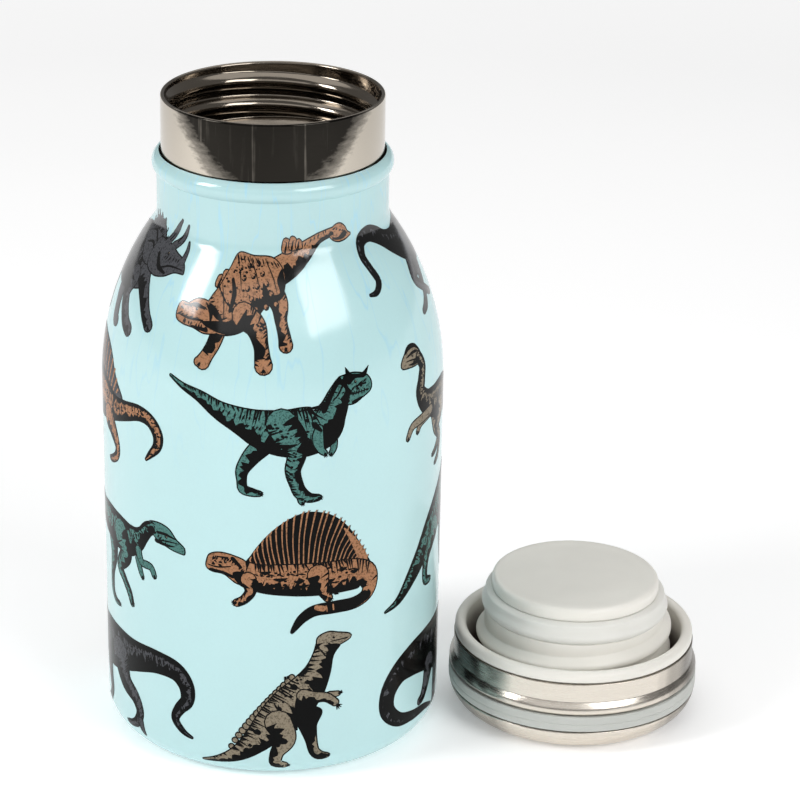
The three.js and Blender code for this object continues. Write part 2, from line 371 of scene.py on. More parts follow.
def brushed_steel(name, colour, rough_low=0.2, rough_high=0.34, painted_bands=False):
    """Steel with fine turned brushing: long streaks round the axis, of uneven depth."""
    shader = Shader(name, Metallic=1.0)
    fine = shader.noise(shader.around(3, 9, 9), detail=8, roughness=0.75)
    broad = shader.noise(shader.around(2, 1.2, 1.2), detail=3)
    mixed = shader.math("ADD", shader.times(fine, 0.65), shader.times(broad, 0.35))
    streak = shader.ramp(mixed, (0.3, tint(colour, 0.88)), (0.7, tint(colour, 1.04)))
    # Where asked, painted reflection bands darken the streaks on two opposite sides.
    shader.colour(shader.painted_reflection_bands(streak) if painted_bands else streak)
    shader.roughness(shader.ramp(mixed, (0.3, rough_low), (0.7, rough_high)))
    shader.bump(fine, 0.004)
    return shader.material


def moulded(name, colour, rough_low, rough_high, glow=0.0):
    """Moulded plastic or silicone: a fine even grain, slight mottling and softly lit depth."""
    shader = Shader(name, IOR=1.46, Subsurface_Weight=glow, Subsurface_Scale=0.002,
                    Subsurface_Radius=(1, 1, 1))
    grain = shader.noise(shader.scaled(4), detail=3)
    cloud = shader.noise(shader.scaled(0.09))
    shader.colour(shader.ramp(cloud, (0.3, tint(colour, 0.975)), (0.7, tint(colour, 1.02))))
    shader.roughness(shader.ramp(grain, (0.3, rough_low), (0.7, rough_high)))
    shader.bump(grain, 0.006)
    return shader.material


def collar_steel(outside, inside):
    """Polished steel of the mouth: darker and browner inside, as painted shade in the bore, and outside
    a painted reflection, the dark middle and the bright wedges of a polished cylinder, broken by
    lighter painted streaks where fine scratches and hairlines catch the light."""
    shader = Shader("polished_steel", Metallic=1.0)
    x, y, z = shader.axes()
    # Painted reflection outside: dark toward the front and the back, more so higher up, with a ragged edge;
    # bright wedges between.
    dark_reflection_turn = math.radians(186)
    twice = shader.math("ADD", shader.times(shader.math("ARCTAN2", y, x), 2), dark_reflection_turn)
    above_foot = shader.math("ADD", z, -COLLAR_FOOT * MM)
    rise = shader.times(above_foot, 1.2 / ((RIM_HEIGHT - COLLAR_FOOT) * MM))
    ragged = shader.times(shader.noise(shader.around(9, 1.1), detail=5, roughness=0.6), 0.55)
    reflection_darkness = shader.math("ADD", shader.math("ADD", shader.math("COSINE", twice), rise), ragged)
    painted_wedges = shader.ramp(shader.times(reflection_darkness, 0.5), (0.46, 1), (0.56, 0.4), (0.72, 0.04))
    # Painted highlights: lighter streaks and hairlines, where scratches catch the light, break up the dark
    # middle.
    scratch = shader.ramp(shader.noise(shader.around(26, 0.03), detail=3), (0.56, 0), (0.8, 0.55))
    hair = shader.times(scratch, shader.noise(shader.around(4, 0.25), detail=3))
    streaks = shader.ramp(shader.noise(shader.around(16, 0.08), detail=5), (0.5, 0.02), (0.85, 0.1))
    fan = shader.math("MAXIMUM", shader.math("MAXIMUM", painted_wedges, hair), streaks)
    # Painted shade: inside the bore the darker, browner inside colour is used.
    is_outside = shader.math("GREATER_THAN", shader.off_axis(x, y), (COLLAR_RADIUS - 0.25) * MM)
    painted_outside = shader.mixed("MULTIPLY", 1.0, outside, fan)
    shader.colour(shader.mixed("MIX", is_outside, inside, painted_outside))
    lines = shader.noise(shader.around(6, 2.5, 2.5), detail=6, roughness=0.7)
    shader.roughness(shader.ramp(lines, (0.35, 0.06), (0.65, 0.2)))
    shader.bump(lines, 0.0015)
    return shader.material


def shadowed_plastic():
    """The white plastic of the lid's lining, with painted shade toward the bottom of its deep groove."""
    shader = Shader("white_lining_plastic", IOR=1.46)
    uneven_shade = shader.times(shader.noise(shader.scaled(0.2)), 0.1)
    # Painted shade: dark brown low in the groove, fading to white higher up, its edge made uneven by noise.
    depth = shader.math("ADD", shader.times(shader.axes()[2], 1 / (20 * MM)), uneven_shade)
    shader.colour(shader.ramp(depth, (0.5, srgb(96, 84, 76)), (0.84, srgb(233, 230, 222))))
    shader.roughness(shader.ramp(shader.noise(shader.scaled(4)), (0.3, 0.32), (0.7, 0.42)))
    return shader.material


AQUA = srgb(187, 223, 225)
enamel = enamel_finish("aqua_enamel", AQUA, 0.02, streaks=True)
# The mouth's steel: a painted reflection outside and painted shade inside.
bare_rim = collar_steel((0.54, 0.49, 0.42, 1), (0.27, 0.235, 0.195, 1))
inner_steel = polished_steel("satin_inner_steel", (0.42, 0.38, 0.34, 1), 0.18, 0.32)
# The lid's steel carries the painted reflection bands.
lid_steel = brushed_steel("brushed_lid_steel", (0.74, 0.68, 0.6, 1), painted_bands=True)
foot_steel = brushed_steel("brushed_foot_steel", (0.66, 0.64, 0.62, 1), 0.25, 0.4)
white_plastic = moulded("white_plastic", srgb(238, 235, 227), 0.32, 0.42, glow=0.15)
seal_silicone = moulded("seal_silicone", srgb(228, 227, 221), 0.38, 0.5, glow=0.25)
lining_plastic = shadowed_plastic()
grip_silicone = moulded("grip_silicone", srgb(192, 194, 189), 0.45, 0.58, glow=0.1)
foam = moulded("insulating_foam", srgb(232, 222, 196), 0.85, 0.95)
solder = brushed_steel("solder_bead", (0.5, 0.5, 0.5, 1), 0.4, 0.6)


# ---- the thread --------------------------------------------------------------------------------

def thread(height, width, first, start, turns, fade=0.12):
    """A right-handed ridge as a swell: how far the surface stands out at an angle and height.

    The ridge begins at the angle first, in degrees, and the height start; width is across its foot.
    """
    def ridge(angle, z):
        most = 0.0
        for turn in range(-2, math.ceil(turns) + 1):
            along = angle / (2 * math.pi) - first / 360 + turn
            if not 0 <= along <= turns:
                continue
            off = abs(z - start - THREAD_PITCH * along) / (width / 2)
            if off < 1:
                ends = min(1, along / fade, (turns - along) / fade)
                most = max(most, (1 - off ** 2.4) ** 1.6 * math.sin(ends * math.pi / 2))
        return height * most
    return ridge


# ---- the bottle --------------------------------------------------------------------------------

def wall_outline(depth):
    """The outer shell's outline from its foot to the bead, that far inside the enamel's surface."""
    hem = BODY_RADIUS - FOOT_FILLET
    neck = COLLAR_RADIUS + 0.3
    first = -math.degrees(math.acos((NECK_RADIUS - BEAD_CENTRE) / BEAD_RADIUS))
    last = math.degrees(math.acos((neck + 0.1 - BEAD_CENTRE) / BEAD_RADIUS))
    return (arc(hem, FOOT_FILLET, FOOT_FILLET - depth, -90, 0, 10)
            + shoulder(BODY_RADIUS - depth, NECK_RADIUS - depth, NECK_FILLET + depth)
            + arc(BEAD_CENTRE, BEAD_HEIGHT, BEAD_RADIUS - depth, first, last, 14))


def make_bottle():
    hem_in = BODY_RADIUS - FOOT_FILLET - 1
    neck_in = COLLAR_RADIUS + 0.3
    coat = wall_outline(0) + wall_outline(COAT)[::-1]
    piece(turned("enamel_coat", coat, around=256), "bottle", enamel)

    fillet = NECK_FILLET + WALL
    shell = ([(hem_in, 3, 0.2), (hem_in, 0, 0.3)]
             + wall_outline(COAT + 0.02)
             + [(neck_in, BEAD_TOP - 0.6)]
             + shoulder(BODY_RADIUS - WALL, neck_in, fillet)[::-1]
             + arc(BODY_RADIUS - FOOT_FILLET, FOOT_FILLET, FOOT_FILLET - WALL, 0, -90, 8)
             + [(hem_in + WALL, WALL, 0.2), (hem_in + WALL, 3, 0.2)])
    piece(turned("steel_shell", shell, around=160), "bottle", foot_steel, "outer_shell")

    lip = (COLLAR_RADIUS - MOUTH_RADIUS) / 2
    seat_top, seat_foot = RIM_HEIGHT - 11, RIM_HEIGHT - 12.7
    ridge = thread(height=1.35, width=4, first=-10, start=118.4, turns=1.6)
    bore = [(MOUTH_RADIUS, RIM_HEIGHT - lip - 0.1 * i) for i in range(1, 105)]
    collar = ([(SEAT_RADIUS, COLLAR_FOOT, 0.2), (SEAT_RADIUS + WALL, COLLAR_FOOT, 0.2),
               (SEAT_RADIUS + WALL, COLLAR_FOOT + 1.2, 0.3), (COLLAR_RADIUS, seat_foot + 1, 0.3)]
              + arc(COLLAR_RADIUS - lip, RIM_HEIGHT - lip, lip, 0, 180, 12)
              + bore + [(MOUTH_RADIUS, seat_top, 0.5), (SEAT_RADIUS, seat_foot, 0.6)])

    def rolled(angle, r, z):
        inside = MOUTH_RADIUS - 0.01 < r < MOUTH_RADIUS + 0.01
        return -ridge(angle, z) if inside else 0
    piece(turned("mouth_collar", collar, 256, rolled), "bottle", bare_rim, "neck_collar")

    inside = VESSEL_RADIUS - WALL
    vessel = ([(inside, 14.8), (VESSEL_RADIUS, 14.8)]
              + shoulder(VESSEL_RADIUS, SEAT_RADIUS + WALL, 7)
              + [(SEAT_RADIUS + WALL, COLLAR_FOOT - 0.3), (SEAT_RADIUS, COLLAR_FOOT - 0.3)]
              + shoulder(inside, SEAT_RADIUS, 7 + WALL)[::-1])
    piece(turned("vessel_wall", vessel), "bottle", inner_steel, "inner_vessel")
    corner = VESSEL_RADIUS - 7
    dish = ([(0, 6.2)] + arc(corner, 13.2, 7, -90, 0) + [(VESSEL_RADIUS, 14.5), (inside, 14.5)]
            + arc(corner, 13.2, 7 - WALL, 0, -90) + [(12, 6.8, 2), (0, 7.2)])
    piece(turned("vessel_floor", dish), "bottle", inner_steel, "inner_vessel_base")

    edge = span("base_cover")[1][1]
    low, high = span("base_cover")[0][2], span("base_cover")[1][2]
    cover = [(0, low), (edge * 0.55, low), (edge * 0.6, low + 0.12, 0.3), (edge * 0.65, low, 0.3),
             (edge, low, 0.3), (edge, high, 0.15), (0, high)]
    piece(turned("foot_cover", cover), "bottle", foot_steel, "base_cover")


# ---- the lid -----------------------------------------------------------------------------------

def make_lid():
    crown = 6
    flat = LID_RADIUS - crown
    floor = BAND_FOOT - 0.3
    groove = 23.7
    shell = ([(0, 0.12), (flat - 2, 0.05, 1), (flat, 0, 0.5)]
             + arc(flat, crown, crown, -88, -14, 16)
             + [(LID_RADIUS - 0.25, floor, 0.15), (groove, floor, 0.1), (groove, BAND_TOP + 0.3, 0.1),
                (LID_RADIUS - 0.35, BAND_TOP + 0.3, 0.2), (LID_RADIUS, 9.35, 0.5),
                (LID_RADIUS - 0.12, 10.1, 0.5), (BAND_RADIUS + 0.25, 11.0, 0.4),
                (BAND_RADIUS, 11.35, 0.25), (BAND_RADIUS, LID_EDGE, 0.15),
                (BAND_RADIUS - WALL, LID_EDGE, 0.15), (BAND_RADIUS - WALL, BAND_FOOT - 0.8)]
             + arc(flat, crown, crown - WALL, -20, -90, 8)
             + [(0, WALL)])
    piece(turned("lid_cap", shell, 256), "lid", lid_steel, "lid_shell", LID_AXIS)

    inner, outer, middle = groove + 0.3, LID_RADIUS + 0.05, (BAND_FOOT + BAND_TOP) / 2
    band = [(inner, BAND_FOOT), (outer - 0.05, BAND_FOOT, 0.3), (outer, middle - 0.35, 0.2),
            (outer - 0.14, middle - 0.1, 0.1), (outer - 0.02, middle + 0.1, 0.1),
            (outer - 0.05, BAND_TOP, 0.3), (inner, BAND_TOP)]
    piece(turned("silicone_band", band, 256), "lid", grip_silicone, "grip_band", LID_AXIS)

    rim, foot = 1.1, span("lid_liner")[0][2]
    rest = LID_EDGE + 0.3
    lining = ([(0, foot), (BAND_RADIUS - WALL - 0.3, foot, 0.3), (BAND_RADIUS - WALL - 0.3, rest),
               (BAND_RADIUS - 0.15, rest, 0.2)]
              + arc(BAND_RADIUS - 0.15 - rim, LINER_TOP - rim, rim, 0, 90, 10)
              + arc(LINER_INNER + rim, LINER_TOP - rim, rim, 90, 180, 10)
              + [(LINER_INNER, foot + 1.5, 0.6), (0, foot + 1.5)])
    piece(turned("lid_lining", lining, 256), "lid", lining_plastic, "lid_liner", LID_AXIS)

    low = span("stopper_body")[0][2]
    high = span("stopper_body")[1][2]
    shelf = GASKET_FOOT - 0.3
    neck = 15.3
    ridge = thread(height=1.6, width=3.9, first=-170, start=10.6, turns=1.6)
    side = [(STOPPER_RADIUS, low + 0.2 + 0.12 * i) for i in range(int((shelf - low - 0.6) / 0.12))]
    stopper = ([(0, low), (STOPPER_RADIUS, low, 0.2)] + side
               + [(STOPPER_RADIUS, shelf, 0.25), (neck, shelf), (neck, high), (neck - 1.6, high),
                  (neck - 1.6, shelf - 1.6), (STOPPER_RADIUS - 1.6, shelf - 3.2),
                  (STOPPER_RADIUS - 1.6, low + 1.6), (0, low + 1.6)])

    def moulded_thread(angle, r, z):
        return ridge(angle, z) if abs(r - STOPPER_RADIUS) < 0.01 else 0
    piece(turned("stopper", stopper, 256, moulded_thread), "lid", white_plastic,
          "stopper_body", LID_AXIS)

    bore = neck + 0.3
    foot = GASKET_FOOT - 0.24
    gasket = [(bore, foot), (STOPPER_RADIUS + 0.1, foot, 0.3), (18.5, 21.75, 0.5),
              (18.55, 22.35, 0.4), (STOPPER_RADIUS + 0.05, 23.4, 0.5),
              (STOPPER_RADIUS - 0.05, GASKET_TOP - 0.5, 0.3), (16.7, GASKET_TOP, 0.3), (bore, GASKET_TOP)]
    piece(turned("gasket", gasket, 200), "seal_ring", seal_silicone,
          "stopper_gasket", LID_AXIS)

    under = GASKET_TOP + 0.06
    cap, spigot = span("stopper_end_cap")[1][1], neck - 1.9
    end = ([(0, 23), (spigot, 23), (spigot, under), (cap, under, 0.25)]
           + arc(cap - 0.9, STOPPER_TOP - 0.9, 0.9, 0, 80, 8)
           + [(cap - 1.6, STOPPER_TOP, 0.6), (cap - 3.4, STOPPER_TOP - 0.12, 1.2), (0, STOPPER_TOP - 0.1)])
    piece(turned("stopper_end", end, 200), "lid", white_plastic,
          "stopper_end_cap", LID_AXIS)


def finish_hidden_nodes():
    """The CAD nodes that stay, closed up inside the walls or the stopper."""
    for node, material in (("base_plate", foot_steel), ("getter", inner_steel),
                           ("vacuum_seal", solder), ("stopper_foam", foam)):
        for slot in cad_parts[node].material_slots:
            slot.material = material


# ---- drawing the printed creatures -------------------------------------------------------------

INK_LINE = 0.26  # width of the ink line round each part
STEP = 0.5  # between the points of a drawn curve
FILM_TOP, FILM_FOOT = 0.035, -0.03  # of a print, from the enamel's surface
PRINT_GRID = 1.3  # between the extra points that bend a wide print round the wall
PRINT_START = -math.pi / 2 - 0.033  # the angle of x = 0 on the unrolled wall


def curve(points, closed):
    """Points every STEP or so along a smooth curve through the given ones, which may carry a width.

    A point given twice in a row is a sharp corner.
    """
    count = len(points)
    smooth = []
    for i in range(count if closed else count - 1):
        a, b, c, d = [points[j % count if closed else min(max(j, 0), count - 1)]
                      for j in (i - 1, i, i + 1, i + 2)]
        pieces = max(1, round(math.dist(b[:2], c[:2]) / STEP))
        for k in range(pieces):
            t = k / pieces
            smooth.append(tuple(
                0.5 * (2 * q + (r - p) * t + (2 * p - 5 * q + 4 * r - s) * t * t
                       + (3 * q - p - 3 * r + s) * t ** 3)
                for p, q, r, s in zip(a, b, c, d)))
    return smooth if closed else smooth + [tuple(points[-1])]


def sides(stations):
    """The smooth line through stations of (x, y, width), each point with its leftward direction."""
    line = curve(stations, closed=False)
    found = []
    for i, (x, y, width) in enumerate(line):
        before, after = line[max(i - 1, 0)], line[min(i + 1, len(line) - 1)]
        along = Vector((after[0] - before[0], after[1] - before[1])).normalized()
        found.append((x, y, max(width, 0.06), -along.y, along.x))
    return found


def stroke(*stations):
    """A limb, neck, tail or mark: a smooth line through (x, y, width) with rounded ends."""
    line = sides(stations)

    def rounded_end(x, y, w, nx, ny, way):
        parts = 6 if w > 1 else 3
        turns = [math.pi * k / parts for k in range(1, parts)]
        return [(x + way * w / 2 * (nx * math.cos(t) + ny * math.sin(t)),
                 y + way * w / 2 * (ny * math.cos(t) - nx * math.sin(t))) for t in turns]
    left = [(x + nx * w / 2, y + ny * w / 2) for x, y, w, nx, ny in line]
    right = [(x - nx * w / 2, y - ny * w / 2) for x, y, w, nx, ny in line]
    return left + rounded_end(*line[-1], 1) + right[::-1] + rounded_end(*line[0], -1)


def patch(*points):
    """A smooth closed outline."""
    return curve(points, closed=True)


def dot(x, y, radius, squash=1.0):
    """A round or oval mark."""
    turns = [2 * math.pi * k / 10 for k in range(10)]
    return [(x + radius * math.cos(t), y + radius * squash * math.sin(t)) for t in turns]


def anticlockwise(outline):
    twice_area = sum(p[0] * q[1] - q[0] * p[1] for p, q in zip(outline, outline[1:] + outline[:1]))
    return outline if twice_area > 0 else outline[::-1]


def grown(outline, by):
    """The outline moved outward by a distance."""
    outline = anticlockwise(outline)
    moved = []
    for i, (x, y) in enumerate(outline):
        before, after = outline[i - 1], outline[(i + 1) % len(outline)]
        along = Vector((after[0] - before[0], after[1] - before[1])).normalized()
        moved.append((x + along.y * by, y - along.x * by))
    return moved


class Drawing:
    """One creature as layers of flat shapes, the later ones over the earlier."""

    def __init__(self, seed):
        self.layers = []
        self.chance = random.Random(seed)

    def part(self, colour, *shapes):
        """Shapes of one colour that run together, with an ink line round them all."""
        self.layers += [("ink", grown(shape, INK_LINE)) for shape in shapes]
        self.layers += [(colour, shape) for shape in shapes]

    def mark(self, *shapes, colour="ink"):
        self.layers += [(colour, shape) for shape in shapes]

    def lines(self, *lines, colour="ink"):
        self.mark(*[stroke(*line) for line in lines], colour=colour)

    def limb(self, colour, side, share, stations, fringe=False):
        """An outlined stroke, shaded on one side."""
        self.part(colour, stroke(*stations))
        self.shade(side, share, *stations)
        if fringe:
            self.fringe(*stations)

    def shade(self, side, share, *stations):
        """An engraved shadow on one side of a stroke, +1 its left, with a jagged inner edge."""
        line = sides(stations)
        outer, inner = [], []
        for x, y, w, nx, ny in line:
            reach = side * w / 2
            depth = reach * max(-0.92, 1 - 2.4 * share * self.chance.uniform(0.55, 1.7))
            outer.append((x + nx * reach, y + ny * reach))
            inner.append((x + nx * depth, y + ny * depth))
        self.mark(outer + inner[::-1])

    def hatch(self, count, length, lean, *path):
        """Short tapering ticks along a path, each at about the same lean, in degrees."""
        line = curve(path, closed=False)
        for k in range(count):
            x, y = line[round((len(line) - 1) * k / max(count - 1, 1))][:2]
            angle = math.radians(lean + self.chance.uniform(-14, 14))
            reach = length * self.chance.uniform(0.6, 1.2)
            dx, dy = reach * math.cos(angle), reach * math.sin(angle)
            self.mark(stroke((x - dx / 2, y - dy / 2, 0.1), (x, y, 0.42), (x + dx / 2, y + dy / 2, 0.08)))

    def specks(self, count, x, y, wide, high):
        """Small ink flecks scattered over an oval."""
        for _ in range(count):
            out, turn = math.sqrt(self.chance.random()), self.chance.uniform(0, 2 * math.pi)
            size = self.chance.uniform(0.1, 0.4)
            self.mark(dot(x + wide * out * math.cos(turn), y + high * out * math.sin(turn), size, 0.7))

    def fringe(self, *stations):
        """Fine engraved ticks that run in from both edges of a stroke."""
        line = sides(stations)
        for x, y, w, nx, ny in line[1:-1]:
            for side in (-1, 1):
                if w < 0.8 or self.chance.random() < 0.3:
                    continue
                reach, lean = w * self.chance.uniform(0.12, 0.5), self.chance.uniform(0.2, 0.8)
                x0, y0 = x + side * nx * w * 0.49, y + side * ny * w * 0.49
                x1, y1 = x0 - side * nx * reach + ny * lean, y0 - side * ny * reach - nx * lean
                self.mark(stroke((x0, y0, 0.46), ((x0 + x1) / 2, (y0 + y1) / 2, 0.3), (x1, y1, 0.06)))

    def eye(self, x, y, size=0.3):
        self.mark(dot(x, y, size))
        self.mark(dot(x + size * 0.3, y + size * 0.3, size * 0.35), colour="olive")

    def claws(self, x, y, lean, length=0.9, count=3, spread=24):
        """Pointed toes that fan out from the end of a foot or a hand."""
        for k in range(count):
            turn = math.radians(lean + spread * (k - (count - 1) / 2))
            tip = (x + length * math.cos(turn), y + length * math.sin(turn), 0.1)
            self.mark(stroke((x, y, 0.5), tip))


# ---- the creatures, each drawn about its own middle --------------------------------------------

def horned_hunter():
    """A two-legged hunter with horned brows, walking right."""
    d = Drawing(1)
    far_leg = [(-6, 0, 3.6), (-8, -2.2, 3), (-9.7, -5, 2.1), (-9.8, -7.2, 1.5), (-9.5, -8.8, 1.6),
        (-7.8, -9.4, 1.3), (-6.4, -9.6, 0.8)]
    d.limb("green", 1, 0.5, far_leg)
    d.claws(-6.6, -9.6, -10)
    arm = [(7.4, 0.8, 1.3), (7.5, -1, 1), (7, -2.2, 0.7)]
    d.part("green", stroke(*arm))
    d.claws(7, -2.2, -90, 0.7)
    body = [(-24.7, 11.4, 0.2), (-21.6, 9.9, 0.9), (-18, 8.6, 1.9), (-14, 6.4, 3.3), (-10, 4.8, 5),
        (-6, 3.3, 7.4), (-2, 2.5, 8.8), (2, 2.6, 9.4), (5.3, 3.4, 8), (7.2, 6, 5.6), (8.6, 8.8, 4.4),
        (9.8, 10.6, 3.8)]
    head = patch((9.3, 12), (11.2, 12.7), (13.4, 12.4), (14.9, 11.7), (15.6, 10.3), (15.3, 9), (13.6, 8),
        (11.4, 7), (9.2, 7.6), (8.4, 9.8))
    d.lines(((11, 11.6, 1.5), (10.7, 12.9, 0.9), (10.3, 14, 0.12)),
        ((13.8, 11.6, 1.5), (14.6, 12.5, 0.8), (15.4, 13.5, 0.12)))
    d.part("green", stroke(*body), head)
    d.shade(-1, 0.28, *body)
    d.hatch(9, 1.3, 70, (-14, 6.6), (-10, 5.6), (-6.5, 5.4))
    d.hatch(7, 1.1, 60, (-9, 3.9), (-5, 3.2))
    d.hatch(8, 1.5, 75, (5.4, 7), (7, 9.6), (8.4, 11.6))
    d.hatch(6, 1.4, 100, (3.4, 4), (6.2, 2.6))
    d.fringe(*body)
    d.lines(((5.6, 6.4, 1.1), (7.2, 9.6, 1), (8.9, 12, 0.9)), ((1, 6.7, 0.3), (4, 7.2, 0.5), (6, 7.4, 0.4)))
    d.hatch(9, 1.8, 55, (4.4, 6.6), (8, 8.6), (9.6, 11))
    d.specks(26, 2, 3.6, 4, 2.4)
    d.lines(((9.4, 9.4, 0.2), (11.6, 8.8, 0.28), (14.9, 9.2, 0.15)))
    d.mark(patch((9.6, 12), (10.6, 12.9), (12, 12.5), (14.6, 12.2), (14.2, 11.5), (12.2, 11.6),
        (10.8, 10.6)))
    d.lines(((9.4, 11.4, 1.2), (10.4, 9.8, 0.7), (9.6, 8, 0.9)), ((12.6, 10.2, 0.2), (14.4, 10.4, 0.4)))
    d.hatch(8, 0.9, 80, (11.4, 8.9), (14.8, 9.1))
    d.hatch(5, 1.2, 40, (11.6, 9.8), (14.2, 10.9))
    d.lines(((11.5, 7.2, 0.7), (13.4, 7.9, 0.35)), ((8, 4, 1.4), (8.8, 6.6, 1.2), (10.6, 7.6, 0.5)))
    d.eye(12.2, 11)
    d.specks(8, 13.3, 9.8, 1.3, 0.6)
    leg = [(-2.4, 4.4, 5.6), (-0.4, 1, 5.4), (0.4, -1.8, 3.4), (-0.3, -5, 2.6), (0.4, -7.9, 2.2),
        (1.2, -9.6, 2.2), (2.8, -10.7, 1.6), (4.6, -10.8, 1)]
    d.part("green", stroke(*leg), stroke((1.1, -9.4, 1.6), (1.4, -11.4, 1)))
    d.shade(1, 0.26, *leg)
    d.fringe(*leg)
    d.mark(dot(-4.6, 3.8, 0.55))
    d.lines(((-3.8, 0.2, 0.7), (-1.4, -0.2, 0.9), (0.4, 0.2, 0.3)))
    d.specks(22, -2, 3.4, 2.4, 2.4)
    d.specks(14, 0, -4.4, 1, 3)
    d.claws(4.6, -10.9, -6)
    d.claws(1.5, -11.6, -75, 0.7)
    arm = [(4.6, 3, 1.4), (4.4, 0.9, 2), (5, -1.2, 1.2), (5.8, -2, 0.8)]
    d.part("green", stroke(*arm))
    d.lines(((4, 3.6, 1.2), (5, 2.6, 0.6)))
    d.claws(5.8, -2.1, -75, 0.8)
    return d


def armoured_grazer():
    """A broad four-legged grazer with studded armour and a tail club, coming toward the left."""
    d = Drawing(2)
    far_leg = [(-11, -5, 3), (-12, -8.6, 2.5), (-13.2, -11, 2.3), (-14, -12.4, 2.7)]
    hind_leg = [(-0.6, 2.4, 4.6), (1.4, -0.8, 3.6), (1.7, -3.8, 2.2), (2.3, -6.6, 2.1), (2.6, -8.5, 2.5)]
    d.part("brown", stroke(*far_leg), stroke((-14, -12.2, 2.2), (-14.9, -12.5, 1.6)))
    d.shade(-1, 0.55, *far_leg[:3])
    d.limb("brown", -1, 0.35, hind_leg, fringe=True)
    d.claws(2.6, -9, -90, 0.8)
    tail = [(1, 5, 5.4), (5, 6.8, 4.8), (9, 8.9, 3.4), (13, 10.9, 1.8), (17.4, 11.8, 1.4)]
    club = patch((16.6, 11.8), (17.8, 12.8), (19.6, 13), (21.2, 12.2), (22, 11.2), (23.3, 10.6),
        (23.3, 10.6), (21.4, 9.9), (19, 9.7), (17.2, 10.2), (16.3, 11))
    d.part("brown", stroke(*tail), club)
    d.shade(-1, 0.3, *tail)
    d.hatch(9, 1, 70, (6, 8.6), (10, 10.4), (15, 12))
    d.mark(patch((17, 10.6), (19, 10.5), (21, 11.6), (22, 10.8), (21, 10.1), (19, 9.9), (17.2, 10.2)))
    d.hatch(4, 0.9, 20, (17.6, 12.2), (20.4, 11.6))
    plates = ((3.8, 10, 1.2), (5.6, 10.4, 1.1), (7.2, 10.2, 0.8), (-12.6, 2.8, 1), (-11.4, 4, 0.9))
    for x, y, size in plates:
        d.part("brown",
            patch((x - size, y - size), (x - size * 0.6, y + size), (x + size * 0.7, y + size * 0.7),
            (x + size, y - size)))
        d.lines(((x - size * 0.4, y - size, 0.6), (x, y + size * 0.4, 0.3)))
    head = patch((-21.7, -3.4), (-21, -2.2), (-19.4, -2.3), (-17.4, -1.2), (-14.8, -1.3), (-12.4, -2.6),
        (-10.6, -4.6), (-11.4, -6.6), (-14.4, -7.1), (-17, -6.4), (-19.6, -6.1), (-21.5, -5.3))
    body = patch((-9, 8.4), (-5, 8), (0, 7.7), (2.6, 5.2), (2.6, 2), (1, -0.2), (-2, -1.6), (-4.4, -4.6),
        (-8, -6.6), (-12, -6.6), (-15, -3), (-14, -0.4), (-12.4, 2), (-10.6, 5.6))
    d.part("brown", body, head)
    d.mark(patch((2.4, 5.6), (1, 3.6), (1.6, 1.2), (-0.4, 1), (-2.2, 3), (-2.6, 0.6), (-4.6, -0.6),
        (-6.6, -2), (-9.4, -4.4), (-12, -4.6), (-15.4, -5.2), (-12, -6.6), (-8, -6.8), (-4.4, -4.8),
        (-2, -1.8), (1, -0.4), (2.8, 2)))
    for x, y, bend in ((-9.4, 8, 1.4), (-6, 7.9, 2), (-2, 7.6, 2), (-12, 2.4, 1)):
        d.lines(((x, y, 0.15), (x + bend, y - 3.4, 0.3), (x + 1.5 * bend, y - 6.6, 0.12)))
    for row in range(3):
        for k in range(5):
            x, y = -8 + 1.1 * k + 2.2 * row, 5.6 - 1.9 * k + 0.5 * row
            d.mark(dot(x, y, 0.62))
            d.mark(dot(x - 0.12, y + 0.12, 0.42), colour="brown")
            d.mark(dot(x + 0.15, y - 0.12, 0.22))
    d.hatch(8, 1.6, 20, (-14, -0.6), (-12.6, -2.6), (-9, -5))
    d.hatch(7, 1.4, -20, (-20, -2.6), (-15, -2.6))
    d.lines(((-21.4, -4.5, 0.25), (-18.6, -4.9, 0.5), (-15.4, -5, 0.4), (-13.4, -6, 0.2)),
        ((-19.2, -2.6, 0.3), (-17.4, -2.2, 0.8), (-15.2, -2.6, 0.3)),
        ((-20.9, -3.2, 0.5), (-20.3, -3.5, 0.2)), ((-15, -1.6, 0.3), (-13.6, -3.2, 0.9), (-13.4, -5, 0.4)),
        ((-17.6, -6.3, 0.5), (-14, -6.6, 0.8)))
    d.hatch(9, 0.9, 80, (-19.6, -5.6), (-14, -6.2))
    d.eye(-17, -3, 0.34)
    d.specks(70, -6, 2, 5.6, 6)
    d.hatch(12, 1.8, -50, (-12.6, 1.6), (-10.4, -1), (-7.6, -3))
    d.hatch(12, 1.6, -65, (-9, 7.4), (-4, 7), (1.4, 6.4))
    d.hatch(10, 1.4, 35, (-21, -4.4), (-16, -5), (-12.6, -5.8))
    d.mark(patch((-14.4, -1.6), (-12.6, -2.2), (-10.6, -4.6), (-12.6, -4)),
        stroke((-9.6, 3.4, 0.7), (-8.8, 0.6, 1.1), (-9.4, -2.6, 0.7)))
    leg = [(-6.4, -3, 4.6), (-3.6, -5, 4), (-2.4, -8.4, 2.6), (-2, -11, 2.8), (-1.8, -12.2, 3.2)]
    d.part("brown", stroke(*leg))
    d.shade(-1, 0.42, *leg[:4])
    d.fringe(*leg)
    d.specks(16, -3.4, -5.4, 1.6, 1.6)
    d.claws(-1.8, -13, -90, 0.8, 4, 30)
    d.claws(-14.6, -12.8, -120, 0.7)
    return d


